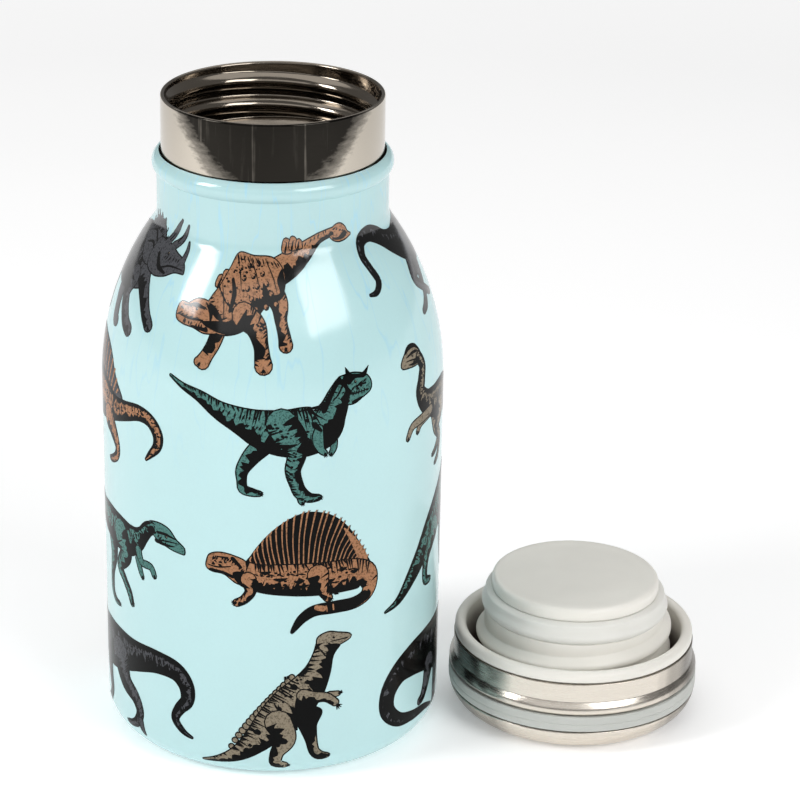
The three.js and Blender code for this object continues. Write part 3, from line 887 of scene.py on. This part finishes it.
def finback():
    """A low four-legged reptile with a tall spined sail, facing left, its tail curled under."""
    d = Drawing(3)
    body = [(-11, 0.4, 4.4), (-7.4, -0.8, 5.4), (-2, -1.2, 6.2), (4, -1.5, 6.4), (10, -1.6, 6.2),
        (13.4, -2.4, 5), (14.4, -4.6, 3.2), (13.6, -6.6, 2.3), (11, -7.7, 2.1), (7, -7.8, 2.1),
        (3, -8, 1.9), (0.6, -9.4, 1.5), (-0.9, -11.4, 0.7), (-1.4, -12.2, 0.2)]
    rim = [(-10, 1.3), (-8.8, 3.9), (-7, 6.5), (-4.8, 8.9), (-2, 11), (1, 12.2), (4, 12), (7, 10.6),
        (9.6, 8), (11.6, 5), (13.4, 1.7), (14.2, -0.8)]
    d.part("ink", patch(*rim, (9, -0.6), (1, 0.8), (-5, 1)))
    tips = curve(rim, closed=False)
    d.lines(((8.8, 8.2, 0.3), (10.8, 5.2, 1.3), (12.6, 1.8, 2), (13.2, -0.8, 1.6)), colour="brown")
    for k in range(27):
        t = (k + 0.5) / 27
        x, y = tips[round(t * (len(tips) - 1))]
        low = -9.6 + 22.4 * t
        d.lines(((low, 0.8, 0.3), ((low + x) / 2 - 0.3, y / 2 + 0.8, 0.2), (x, y, 0.32),
            (x + 0.25, y + 0.55, 0.2)), colour="brown")
        d.lines(((x + 0.2, y - 0.2, 0.12), (x + 0.5, y + 0.6, 0.12)))
    head = patch((-17.6, 1.9), (-17, 3.2), (-15, 3.8), (-12.4, 3.4), (-10, 2.2), (-9, -1), (-11.4, -2.2),
        (-14.2, -0.4), (-16.6, -0.1), (-17.7, 0.6))
    d.part("brown", stroke(*body), head)
    d.mark(stroke(*body[7:]))
    d.lines(((12.6, -3.6, 0.9), (13.8, -5.4, 0.9)), ((3.4, -7.4, 1.1), (4.6, -7.8, 1.2)),
        ((5.2, -7.3, 0.3), (5.4, -8.4, 0.3)), ((6.6, -7.2, 0.3), (6.7, -8.3, 0.3)), colour="brown")
    d.shade(1, 0.4, *[(x, y, -w) for x, y, w in body[:6]])
    d.shade(-1, 0.22, *body[:7])
    d.mark(patch((-12.6, 0), (-9.8, 0.2), (-8.4, -1.6), (-4, -3.4), (0, -3.9), (4, -4), (4, -4.8),
        (-4, -4.4), (-8.6, -3.6), (-11.4, -2.4)))
    folds = ((-6.4, 0.2, 2), (-3.6, -1.2, 2.4), (0, -1.8, 1.8), (0.6, -2.8, 2.2), (3.8, 0.4, 1.6),
        (6, -2.2, 1.8), (8.6, -0.2, 1.4), (11, -1.2, 1.6), (-5, -2.4, 1.6))
    for x, y, long in folds:
        d.lines(((x - long / 2, y + 0.2, 0.3), (x, y, 0.8), (x + long / 2, y + 0.3, 0.3)))
    d.specks(70, 1, -1.2, 11, 2.2)
    d.fringe(*body[:7])
    d.lines(((-17.5, 1.1, 0.2), (-15.6, 0.8, 0.34), (-13, 1.2, 0.25)), ((-12.6, 2.9, 0.9), (-11, 1.2, 0.6)),
        ((-17, 0.1, 0.6), (-14.6, -0.1, 0.5), (-12.6, -0.9, 0.7)), ((-16, 3, 0.2), (-13.6, 2.9, 0.5)))
    d.hatch(12, 1, 60, (-16.4, 2.6), (-13, 2.4), (-10.6, 0.4))
    d.hatch(16, 1.5, 15, (-9, -2.4), (0, -2.8), (9, -2.6))
    d.hatch(12, 1.3, -20, (-8, -0.2), (2, -0.2), (11, -0.6))
    d.eye(-14, 2)
    d.specks(9, -15, 1.6, 1.6, 0.8)
    front = [(-9.6, -1.2, 2.8), (-9.2, -3.6, 1.8), (-10.4, -5.4, 1.4), (-11.8, -6.2, 1.3)]
    hind = [(3.6, -0.6, 4), (4.2, -3, 2.8), (5, -4.8, 1.6), (5.6, -5.6, 1.5)]
    d.part("brown", stroke(*front))
    d.limb("brown", -1, 0.3, hind)
    d.shade(1, 0.3, *front)
    d.fringe(*hind)
    d.fringe(*front)
    d.claws(-12, -6.2, 200, 0.9, 4)
    d.claws(5.8, -5.7, -60, 1, 4)
    d.claws(7, -5, 10, 0.8)
    return d


def upright_grazer():
    """A heavy plant eater reared on two legs, facing right, with a scalloped back."""
    d = Drawing(4)
    far_leg = [(5, -2.4, 3.4), (5.8, -6, 2), (6.4, -8.6, 1.7), (7.6, -9.8, 1.6), (9, -10, 0.9)]
    d.limb("olive", -1, 0.5, far_leg)
    d.claws(9, -10, -10, 0.7)
    for k in range(17):
        t = k / 16
        d.part("olive", dot(-9.6 + 11.6 * t, -7.6 + 15.2 * t ** 0.86, 0.45 + 0.25 * math.sin(3 * t)))
    body = [(-15.6, -11.8, 0.2), (-12, -10.8, 1.4), (-8.6, -9.2, 2.8), (-5.2, -6.4, 4.6), (-1.6, -2.4, 7),
        (1.8, 1.4, 8), (5, 5, 6.8), (7, 8.4, 5), (8, 11.6, 3.8), (8.5, 14, 3.4)]
    head = patch((7, 15.4), (9, 16.4), (11, 16), (13.4, 15.3), (13.6, 14.5), (11.6, 13.6), (10, 13.2),
        (8.8, 12.4), (7.2, 13.2))
    d.part("olive", stroke(*body), head)
    d.shade(-1, 0.3, *body)
    d.fringe(*body)
    d.mark(patch((3.4, 4), (5, 2), (8, 0), (7, -3), (6.4, -6), (4, -4.6), (3.6, -1.6), (2.6, 1.4)))
    d.mark(patch((9.4, 13.6), (11.6, 13.4), (10.4, 11.6), (9.6, 8.6), (10, 10)),
        stroke((9.6, 14.4, 0.2), (13, 14.6, 0.3)))
    blotches = ((4.4, 8.6, 0.6), (2.4, 5.6, 0.8), (5, 6.4, 0.6), (1.8, 3.6, 0.45), (-0.4, 1, 0.6),
        (-4.6, -4, 0.8), (-2, -3.4, 0.9), (0, -6, 1), (3, 7, 0.4), (-6, -7, 0.5))
    for x, y, size in blotches:
        d.mark(patch((x - size, y - size * 0.2), (x, y + size * 0.8), (x + size, y - size * 0.2),
            (x + size * 0.4, y - size)))
    d.hatch(6, 1.4, -60, (9, 11), (7, 13.6))
    d.hatch(7, 1.8, -75, (-1, 1.4), (3, -3))
    d.eye(10.2, 15.2)
    d.specks(60, 2, 2, 4.4, 6)
    leg = [(-0.6, -2, 5), (0.8, -5.6, 3.8), (-0.8, -8.6, 2.3), (-1, -11, 2), (0.6, -11.6, 1.4)]
    d.limb("olive", -1, 0.34, leg)
    d.claws(1, -11.7, -8, 0.8)
    arm = [(4.2, 3.6, 2.3), (6.4, 3, 2), (8.8, 2.6, 1.6), (10.6, 1.2, 1.3)]
    d.part("olive", stroke((9.4, 3, 1.2), (11.2, 3, 0.8)))
    d.limb("olive", -1, 0.25, arm)
    d.claws(11.4, 3, 20, 0.8)
    d.claws(11, 0.6, -50, 1.1, 4, 28)
    return d


def hunter(seed, colour, body, legs, arms, head, lift=0.3):
    """A two-legged hunter from the middle lines of its parts, its body drawn from the tail."""
    d = Drawing(seed)
    d.limb(colour, 1, 0.5, legs[0])
    d.part(colour, stroke(*body), patch(*head))
    way = 1 if body[-1][0] > body[0][0] else -1
    d.shade(-way, lift, *body)
    d.shade(way, 0.12, *body)
    if colour == "grey":
        d.shade(-way, lift * 0.9, *body)
        d.shade(way, 0.15, *body)
    d.fringe(*body)
    middle = len(body) // 2
    for k in range(1, len(body) - 1):
        x, y, w = body[k]
        after = body[k + 1]
        d.hatch(2 + round(w / 2), w * 0.22, 95 + 15 * way, (x, y + w * 0.12),
            (after[0], after[1] + after[2] * 0.12))
        d.specks(round(w * 2.2), x, y, w * 0.45, w * 0.3)
    x, y, w = body[middle]
    d.hatch(6, w * 0.4, 100, (x - w * 0.4, y), (x + w * 0.5, y + w * 0.1))
    for leg in legs[1:]:
        d.limb(colour, way, 0.28, leg, fringe=True)
    for leg in legs:
        x, y, w = leg[-1]
        d.claws(x, y, 0 if way > 0 else 180, 0.9)
    for arm in arms:
        d.part(colour, stroke(*arm))
        x, y, w = arm[-1]
        d.claws(x, y, -80, 0.7)
    xs = [p[0] for p in head]
    ys = [p[1] for p in head]
    x, y = sum(xs) / len(xs), sum(ys) / len(ys)
    long = max(xs) - min(xs)
    d.lines(((x - way * long * 0.34, y + 0.9, 0.5), (x - way * long * 0.1, y + 1, 0.6),
        (x + way * long * 0.22, y + 0.5, 0.2)))
    d.lines(((x - way * long * 0.38, y - 0.9, 0.9), (x - way * long * 0.1, y - 1.2, 0.6),
        (x + way * long * 0.15, y - 1, 0.2)))
    d.eye(x - way * long * 0.08, y + 0.45)
    d.lines(((x - way * long * 0.3, y - 0.6, 0.3), (x, y - 0.3, 0.3),
        (x + way * long * 0.28, y - 0.2, 0.12)))
    d.hatch(5, 1, 60, (x - way * long * 0.4, y + 0.6), (x - way * long * 0.1, y - 0.9))
    return d


def curled_hunter():
    """A dark hunter facing right, its tail hooked down and curled back."""
    body = [(-22.6, -4.3, 0.2), (-20.5, -4.1, 0.8), (-18.9, -2.2, 1.3), (-20, 0.6, 1.4), (-20.9, 3.2, 1.7),
        (-19.4, 5.9, 2.2), (-16, 6.7, 2.7), (-12, 5.5, 3.5), (-8, 3.4, 4.6), (-4, 2, 6.4), (0, 1.4, 8.4),
        (5, 1.2, 9.4), (10, 2, 8), (13.6, 4, 5.2), (16, 5.4, 4)]
    head = [(14.6, 6), (16.6, 7.8), (19.6, 7.4), (22.4, 5.6), (22.4, 4.2), (19, 3.6), (15.6, 3.6)]
    legs = [[(1, -2.4, 5), (-0.4, -6, 2.6), (-2, -9.4, 1.6), (-3.8, -11, 1.5), (-6, -11.8, 0.9)],
        [(0.6, 0, 7), (-3.2, -3.4, 4.4), (-4.6, -5.6, 2.4), (-1.6, -8, 1.7), (1, -9.6, 1.5),
        (2.6, -10.2, 1)]]
    arms = [[(11, -0.6, 1.6), (12.6, -2.6, 1.3), (14, -3, 0.8)]]
    return hunter(5, "grey", body, legs, arms, head, 0.5)


def drooping_hunter():
    """A dark hunter facing left, its tail drooping in a hook behind it."""
    body = [(20.8, -10.3, 0.2), (18.8, -9.4, 0.9), (17, -7.2, 1.4), (18, -4.8, 1.9), (19.8, -2.4, 2.5),
        (19.5, 0.8, 3.2), (17, 3.2, 3.9), (12, 3.6, 4.6), (6, 2.6, 6.2), (0, 1.6, 8.6), (-6, 0.8, 9.8),
        (-12, 0.4, 9), (-16.4, 3.4, 6), (-19.4, 6.4, 4.6)]
    head = [(-17.6, 8.4), (-19.6, 10), (-23, 9.8), (-26.4, 7.6), (-26.2, 6.2), (-22.4, 5.2), (-18.6, 5.4)]
    legs = [[(-9, -2, 6), (-7, -7, 3), (-6, -10, 2), (-7.4, -12.4, 1.4), (-9, -13, 0.9)],
        [(-0.5, 0, 7.4), (2, -4.4, 4.4), (5.6, -6.6, 2.8), (7.2, -9.2, 2), (6.4, -11.6, 1.8),
        (4.6, -12.8, 1.2), (3, -13.1, 0.8)]]
    arms = [[(-14.6, -2, 1.6), (-16.2, -4, 1.2), (-17.6, -4.2, 0.8)]]
    d = hunter(6, "grey", body, legs, arms, head, 0.34)
    d.part("grey", stroke((7.4, -11.2, 1.3), (8, -13, 0.9), (8.4, -13.8, 0.4)))
    return d


def small_raptor():
    """A slender running hunter facing right with folded arms."""
    body = [(-33, 5.4, 0.3), (-27, 4, 1.5), (-21, 2.6, 2.9), (-15, 1.4, 4.6), (-9, 1, 6.6), (-4, 0.6, 7),
        (0, 0.4, 6.6), (3, 1.4, 4.8), (5, 3, 3), (6.6, 4.8, 2.6), (8.4, 5.6, 2.2)]
    head = [(7, 6.3), (9.6, 6.9), (12, 6.3), (13.6, 4.6), (15.5, 3.2), (15.5, 2), (15.5, 2), (13, 2.3),
        (10.6, 3), (8.4, 4)]
    legs = [[(-7, -1.4, 5), (-6.6, -5.6, 3), (-7.6, -9.6, 1.6), (-7.6, -13.4, 1.3), (-6, -15, 1),
        (-4.2, -15.2, 0.7)],
        [(-3, 0.6, 5.4), (-1, -3, 4.2), (-3.4, -6.6, 2.4), (-1.6, -8.8, 1.6), (0.2, -10.8, 1.5),
        (1.2, -13, 1)]]
    arms = [[(3.4, -2.6, 1.2), (4.2, -4.8, 1), (4.8, -5.9, 0.7)],
        [(3.6, -0.6, 1.6), (4.6, -2.8, 1.3), (7.2, -3, 1.2), (8.2, -4.6, 0.9)]]
    return hunter(7, "green", body, legs, arms, head, 0.38)


def long_tail():
    """A green biped facing right, its long straight tail trailing down to the left."""
    body = [(-21.6, -12.4, 0.2), (-18, -11, 1.4), (-14, -7.4, 3.2), (-10, -3.6, 4.8), (-6, 0, 6.6),
        (-1, 2.6, 9), (4, 4.4, 10), (9, 5.4, 8), (13, 8, 5.2), (15.6, 10.8, 3.8)]
    head = [(14, 12.4), (16, 14), (19, 13.6), (22, 11.6), (21.8, 10.4), (18.4, 9.6), (15.4, 10)]
    legs = [[(4, 0, 6), (2, -5, 3), (3, -9, 2), (4, -11.4, 1.7), (6, -11.8, 1)],
        [(-4, -1, 4.8), (-7.4, -4.6, 2.8), (-8.6, -7.5, 2), (-8.4, -10.4, 1.7), (-6.4, -11.1, 1.1)]]
    arms = [[(10.4, 2.4, 1.8), (12, -0.4, 1.4), (12.4, -3, 1)]]
    return hunter(8, "green", body, legs, arms, head, 0.4)


def swift_runner():
    """A long-necked runner facing left, with slim arms held out in front."""
    body = [(24, 3, 0.4), (18, 0.6, 1.8), (13, -0.8, 3.4), (8, -0.6, 6), (4, 0.2, 7.6), (0, 0.6, 7.4),
        (-4, 1.4, 5.6), (-7, 2.6, 4.2), (-8.8, 5, 2.9), (-8.2, 7.4, 2.2), (-7.5, 10, 2), (-9, 12.4, 2.2)]
    head = [(-12.4, 13.8), (-10.6, 14.3), (-8.6, 13.7), (-7.7, 12.4), (-8, 11), (-10, 10.7), (-12, 10.8),
        (-14, 11.1), (-14.2, 11.9), (-13.4, 13)]
    legs = [[(-2, -1.5, 4), (-1.5, -5, 2), (0.6, -7.5, 1.3), (-1.2, -9.4, 1.1), (-2.8, -10, 0.8)],
        [(2, -2, 5), (-0.4, -5, 2.6), (1.5, -8, 1.5), (0.5, -11.1, 1.2), (-1.2, -12.2, 0.9)]]
    arms = [[(-5, -0.6, 1.5), (-8.6, -1.4, 1.2), (-9.8, -2.8, 0.9)],
        [(-4.6, 0, 1.8), (-8.4, -0.6, 1.6), (-11.6, -1.2, 1.3), (-13, -3.2, 0.9)]]
    d = hunter(9, "olive", body, legs, arms, head, 0.36)
    d.lines(((-12.8, 13.6, 0.5), (-11.4, 14.5, 1), (-9.4, 14.4, 0.8), (-8, 13.2, 0.4)))
    return d


def sail_hunter():
    """A big hunter facing left with a sail on its back and a tail that hooks down."""
    d = Drawing(10)
    sail = patch((-14, 4), (-11, 9), (-6, 12.3), (0, 12.4), (5, 10.5), (8.5, 6.5), (11.5, 2.2), (1, 2))
    d.part("grey", sail)
    for k in range(15):
        turn = math.pi * (0.93 - 0.062 * k)
        d.lines(((-11 + 1.45 * k, 3.4, 0.4), (-2 + 12.2 * math.cos(turn), 2.4 + 9.6 * math.sin(turn), 0.5)),
            colour="brown")
    body = [(19.4, -6.8, 0.2), (20.7, -5.4, 1), (22.4, -3.4, 1.7), (22.6, -1, 2.2), (20.8, 1.3, 2.4),
        (17.5, 2, 2.8), (13, 1, 3.6), (9, 0.2, 4.8), (5, 0.2, 7.6), (0, 0.5, 10), (-6, 0.4, 10),
        (-12, 0.4, 7.6), (-16, 2.4, 4.6), (-19, 4.2, 3.4)]
    head = [(-18, 5.6), (-21, 5.8), (-25, 4.6), (-27.4, 3.2), (-24, 2.6), (-19.6, 2.8)]
    legs = [[(-7, -4, 5), (-9, -7, 2.6), (-6, -10, 1.6), (-8.5, -11.2, 1.1)],
        [(5, -3, 5), (7.5, -5, 3.4), (9.4, -7.6, 1.8), (9, -9.6, 1.5), (7.4, -10.8, 1.3),
        (5.8, -11.4, 0.9)]]
    arms = [[(-13, -3, 1.8), (-15, -5.4, 1.3), (-16.6, -5.8, 0.8)]]
    made = hunter(10, "brown", body, legs, arms, head, 0.24)
    d.layers += made.layers
    return d


def great_tail():
    """A huge dark plant eater facing right, its heavy tail curled under it."""
    body = [(-1.6, -12.6, 0.2), (-6, -11.4, 1.1), (-11, -11, 1.7), (-15.5, -10, 2.5), (-18.6, -7, 3.3),
        (-18.4, -3, 3.9), (-15.4, 0.2, 5), (-11, 1.4, 7), (-6, 1.4, 8.8), (0, 0.6, 11), (6, 0.2, 11),
        (12, 1, 7.4), (16, 4.5, 4.6), (19, 8, 3.6), (21, 10.4, 3)]
    head = [(19.4, 11), (21, 12.8), (23.4, 12.4), (25.6, 10.6), (25, 9.4), (22, 9)]
    legs = [[(2, -5, 5), (1, -9, 2.8), (0.4, -12, 2.3)],
        [(-3.5, -3, 5), (-5, -6.4, 3), (-6.6, -8.6, 2), (-8, -9.2, 1.4)],
        [(11, -3, 4), (11.5, -8, 2.4), (11.4, -11.8, 2.2)]]
    return hunter(11, "grey", body, legs, [], head, 0.52)


def horned_grazer():
    """A dark four-legged plant eater facing right, with a frill, brow horns and a beak."""
    d = Drawing(12)
    d.part("grey", stroke((-5, -6, 4.4), (-3.6, -11, 2.7), (-2.4, -14, 2.4), (-1.6, -14.4, 2)))
    legs = [[(-14, -5, 6), (-14, -10, 3.2), (-13, -14, 2.8)],
        [(4, -3, 4.4), (7, -6.6, 2.9), (9.5, -9.8, 2.3), (11.2, -11.6, 2.3)],
        [(0, -5, 5), (-0.5, -8.4, 3.1), (2.5, -12.6, 2.5), (4.8, -14.2, 2.4)]]
    body = [(-24, -3.6, 0.6), (-20, -2, 4), (-15, -1.6, 9), (-10, -1.4, 12), (-4, -1.4, 13), (1, -1.4, 11)]
    d.part("grey", stroke(*legs[0]), stroke(*body))
    d.shade(-1, 0.3, *body)
    d.fringe(*body)
    d.specks(90, -8, -1, 9, 5)
    for k in range(9):
        d.lines(((-16 + 2.2 * k, 3.4, 0.3), (-15 + 2.2 * k, 0, 1), (-15.6 + 2.2 * k, -4, 0.3)))
    d.hatch(8, 2.4, 70, (-14, 0), (-2, 1))
    for leg in legs[1:]:
        d.limb("grey", -1, 0.4, leg)
        d.claws(leg[-1][0], leg[-1][1] - 0.4, -50, 0.9)
    frill = patch((-6.6, 4.6), (-3.4, 7.2), (2, 7), (5.4, 4.6), (7, 2.8), (5, -1), (0, -1), (-5, 2.6))
    head = patch((3, 4), (7, 4.2), (10, 3.8), (13, 2.8), (15, 2.2), (16.4, 1), (16.9, -0.4), (16.9, -0.4),
        (14, -0.6), (11, -1.9), (7, -2.4), (3, -0.8))
    horns = [stroke((6.8, 3.6, 2), (9, 6.4, 1.3), (11.8, 9.3, 0.2)),
        stroke((10, 3.8, 1.8), (12.4, 5.6, 1.3), (14.4, 8.6, 0.2)),
        stroke((15.4, 1.8, 1.2), (15.6, 3.8, 0.8), (15.1, 5.5, 0.2))]
    roots = ((-6, 5.2, -1.4, 0.9), (-4.4, 6.6, -0.9, 1.3), (-2.2, 7.2, -0.3, 1.3), (0, 7.2, 0.2, 1.2),
        (2.2, 6.8, 0.7, 1.1))
    spikes = [stroke((x, y, 1), (x + dx, y + dy, 0.15)) for x, y, dx, dy in roots]
    d.part("grey", frill, *spikes)
    d.fringe((-6, 4.4, 2), (-2, 6.2, 2.4), (3, 6, 2.4), (6, 3.4, 2))
    d.lines(((-4.6, 4, 0.3), (-1, 4.8, 0.5), (3, 2.8, 0.5)), ((-2.4, 2, 0.4), (1, 2.6, 0.6), (4, 0.4, 0.6)))
    d.hatch(7, 1.4, 40, (-5, 5), (2, 5.6))
    d.part("grey", head, *horns)
    d.lines(((8, -1, 0.3), (12, 0.2, 0.4), (16, 0.2, 0.2)),
        ((6, 1.6, 0.9), (8, -0.6, 1.1), (11, -1.4, 0.5)))
    d.lines(((7.6, 4.8, 0.4), (9.6, 7, 0.2)), ((11, 5, 0.4), (13, 7, 0.2)))
    d.hatch(6, 1.2, 70, (9, 1.4), (14, 1.6))
    d.eye(9.6, 2.3, 0.4)
    return d


# ---- printing them on the wall -----------------------------------------------------------------

SHOULDER_TURN = math.acos((NECK_RADIUS + NECK_FILLET - BODY_RADIUS + SHOULDER_RADIUS)
                          / (SHOULDER_RADIUS + NECK_FILLET))


def wall_at(y):
    """Radius, height and lean of the wall's outline at a distance up along it from the table."""
    if y < FOOT_FILLET:
        lean = (y - FOOT_FILLET) / FOOT_FILLET
        return (BODY_RADIUS - FOOT_FILLET * (1 - math.cos(lean)), FOOT_FILLET * (1 + math.sin(lean)), lean)
    if y < SHOULDER_HEIGHT:
        return BODY_RADIUS, y, 0
    lean = (y - SHOULDER_HEIGHT) / SHOULDER_RADIUS
    centre = BODY_RADIUS - SHOULDER_RADIUS
    if lean < SHOULDER_TURN:
        radius = centre + SHOULDER_RADIUS * math.cos(lean)
        return radius, SHOULDER_HEIGHT + SHOULDER_RADIUS * math.sin(lean), lean
    rise = SHOULDER_HEIGHT + (SHOULDER_RADIUS + NECK_FILLET) * math.sin(SHOULDER_TURN)
    past = (lean - SHOULDER_TURN) * SHOULDER_RADIUS
    lean = SHOULDER_TURN - past / NECK_FILLET
    if lean > 0:
        return NECK_RADIUS + NECK_FILLET * (1 - math.cos(lean)), rise - NECK_FILLET * math.sin(lean), lean
    return NECK_RADIUS, rise + past - NECK_FILLET * SHOULDER_TURN, 0


def on_wall(x, y, lift):
    """A point of the unrolled wall on the bottle, lifted off the enamel, and the wall's normal there."""
    radius, height, lean = wall_at(y)
    turn = x / BODY_RADIUS + PRINT_START
    normal = Vector((math.cos(lean) * math.cos(turn), math.cos(lean) * math.sin(turn), math.sin(lean)))
    at = Vector((radius * math.cos(turn), radius * math.sin(turn), height))
    return (at + normal * lift) * MM, normal


class Ink:
    """The film of one colour: closed flakes that lie on the enamel and follow its curve."""

    def __init__(self):
        self.points, self.faces, self.normals = [], [], []

    def lay(self, flat, triangles, x, y):
        """Adds the triangles of one creature, drawn flat, moved by (x, y)."""
        placed = {}
        for corner in sorted({c for triangle in triangles for c in triangle}):
            u, v = flat[corner]
            top, normal = on_wall(u + x, v + y, FILM_TOP)
            bottom = on_wall(u + x, v + y, FILM_FOOT)[0]
            placed[corner] = (len(self.points), len(self.points) + 1)
            self.points += [top, bottom]
            self.normals += [normal, -normal]
        edges = {(t[i], t[(i + 1) % 3]) for t in triangles for i in range(3)}
        for t in triangles:
            self.faces.append([placed[c][0] for c in t])
            self.faces.append([placed[c][1] for c in reversed(t)])
        for a, b in edges:
            if (b, a) not in edges:
                self.faces.append([placed[b][0], placed[a][0], placed[a][1], placed[b][1]])

    def mesh(self, name):
        made = bpy.data.meshes.new(name)
        made.from_pydata(self.points, [], self.faces)
        made.polygons.foreach_set("use_smooth", [True] * len(made.polygons))
        loops = []
        for polygon in made.polygons:
            for corner in polygon.vertices:
                wall = len(polygon.vertices) == 4
                loops.append((0, 0, 0) if wall else self.normals[corner])
        made.normals_split_custom_set(loops)
        return made


def print_creature(drawing, x, y, inks):
    """Cuts a drawing into flakes that don't overlap, each with the colour of its topmost layer."""
    corners, faces = [], []
    for colour, shape in drawing.layers:
        faces.append(list(range(len(corners), len(corners) + len(shape))))
        corners += [Vector(p) for p in anticlockwise(shape)]
    low = [min(c[i] for c in corners) for i in (0, 1)]
    high = [max(c[i] for c in corners) for i in (0, 1)]
    for i in range(1, math.ceil((high[0] - low[0]) / PRINT_GRID)):
        for j in range(1, math.ceil((high[1] - low[1]) / PRINT_GRID)):
            corners.append(Vector((low[0] + i * PRINT_GRID, low[1] + j * PRINT_GRID)))
    flat, _, triangles, _, _, origins = delaunay_2d_cdt(corners, [], faces, 1, 0.0005)
    by_colour = {}
    for triangle, origin in zip(triangles, origins):
        if origin:
            colour = drawing.layers[max(origin)][0]
            by_colour.setdefault(colour, []).append(tuple(triangle))
    for colour, chosen in by_colour.items():
        inks[colour].lay(flat, chosen, x, y)


PRINT_COLOURS = {
    "ink": (srgb(7, 7, 7), 0.1, 0),
    "green": (srgb(78, 123, 117), 0.08, 0.6),
    "brown": (srgb(166, 120, 88), 0.08, 0.55),
    "grey": (srgb(72, 73, 77), 0.1, 0.6),
    "olive": (srgb(139, 128, 110), 0.08, 0.55),
}


def print_finishes(wear, shine):
    return {colour: enamel_finish(f"{colour}_print_{wear}", *look, shine)
            for colour, look in PRINT_COLOURS.items()}


def print_row(place, finishes, height, *row):
    """A row of creatures round the bottle, each given as (drawing, x, rise above its row)."""
    inks = {colour: Ink() for colour in PRINT_COLOURS}
    for creature, x, rise in row:
        print_creature(creature(), x, height + rise, inks)
    for colour, ink in inks.items():
        if ink.faces:
            piece(ink.mesh(f"print_{colour}_{place}"), "bottle", finishes[colour])


def print_bottle():
    """Four rows, five creatures to a row; hands have worn the gloss off all but the shoulder's."""
    glossy = print_finishes("glossy", 0.45)
    worn = print_finishes("worn", 0.06)
    print_row("shoulder", glossy, 97.9, (horned_grazer, -40, 3), (armoured_grazer, 0, 0),
              (curled_hunter, 46, 2.7), (finback, 86, -1), (swift_runner, -90, -1))
    print_row("upper", worn, 70.2, (sail_hunter, -46, 0), (horned_hunter, 4, 0.2),
              (swift_runner, 42, -0.2), (upright_grazer, 84, 0), (finback, -90, 0))
    print_row("middle", worn, 44.3, (small_raptor, -33, 0), (finback, 5, 0), (long_tail, 45, 0.6),
              (horned_grazer, 92, 2), (upright_grazer, -82, 0))
    print_row("lower", worn, 15, (drooping_hunter, -37, 2.9), (upright_grazer, 1.6, 0),
              (great_tail, 43, 2.9), (horned_hunter, 95, 1.4), (finback, -78.5, 0))


# ---- camera, floor and light -------------------------------------------------------------------

def aim(item, at, target):
    item.location = at
    item.rotation_mode = "QUATERNION"
    item.rotation_quaternion = (Vector(target) - Vector(at)).to_track_quat("-Z", "Y")


def make_camera():
    azimuth, elevation, distance = math.radians(-1.9), math.radians(22.3), 593 * MM
    target = Vector((0, 0, 66.06 * MM))
    back = Vector((math.sin(azimuth) * math.cos(elevation), -math.cos(azimuth) * math.cos(elevation),
                   math.sin(elevation)))
    data = bpy.data.cameras.new("camera")
    data.lens = 137.25
    data.sensor_width = 36
    data.shift_x = 0.159
    camera = bpy.data.objects.new("camera", data)
    bpy.context.scene.collection.objects.link(camera)
    aim(camera, target + back * distance, target)
    bpy.context.scene.camera = camera


def softbox(name, at, target, width, height, power):
    data = bpy.data.lights.new(name, "AREA")
    data.shape = "RECTANGLE"
    data.size, data.size_y, data.energy = width, height, power
    light = bpy.data.objects.new(name, data)
    bpy.context.scene.collection.objects.link(light)
    aim(light, at, target)


FLOOR_REACH = 4  # metres from the origin to the floor's edges


def make_stage():
    """A pale floor that glows as painted light, more brightly far off, and soft lights.
    Places and sizes here are in metres.
    """
    bm = bmesh.new()
    bmesh.ops.create_grid(bm, x_segments=1, y_segments=1, size=FLOOR_REACH)
    mesh = bpy.data.meshes.new("floor")
    bm.to_mesh(mesh)
    bm.free()
    floor = bpy.data.objects.new("floor", mesh)
    bpy.context.scene.collection.objects.link(floor)
    shader = Shader("pale_floor", Roughness=0.9, Emission_Color=(1, 1, 1, 1))
    away = shader.node("ShaderNodeVectorMath", operation="LENGTH")
    shader.link(shader.place, away.inputs[0])
    far = shader.times(away.outputs["Value"], 1 / FLOOR_REACH)
    # Painted light: the floor glows, its emission rising from 0.22 near the bottle to 0.74 far off.
    glow = shader.ramp(far, (0.12, 0.22), (0.22, 0.42), (0.45, 0.74))
    shader.link(glow, shader.principled.inputs["Emission Strength"])
    cloud = shader.noise(shader.scaled(0.003))
    shader.colour(shader.ramp(cloud, (0.3, srgb(250, 250, 250)), (0.7, srgb(254, 254, 254))))
    mesh.materials.append(shader.material)

    centre = (0, 0, 0.1)
    softbox("left_softbox", (-0.59, -0.22, 0.45), centre, 0.2, 0.3, 2.3)
    softbox("right_softbox", (0.4, -0.47, 0.46), centre, 0.4, 0.34, 2.2)
    softbox("front_fill", (-0.1, -1.1, 0.75), centre, 1.8, 0.5, 1.9)
    softbox("top_softbox", (0.0, 0.5, 1.1), (0, 0.45, 0), 1.6, 1.6, 6.8)
    world = bpy.data.worlds.new("studio")
    bpy.context.scene.world = world
    world.use_nodes = True
    background = world.node_tree.nodes["Background"]
    background.inputs["Color"].default_value = (1, 1, 1, 1)
    background.inputs["Strength"].default_value = 0.2
    bpy.context.scene.view_settings.view_transform = "Standard"


make_bottle()
print_bottle()
make_lid()
finish_hidden_nodes()
make_camera()
make_stage()
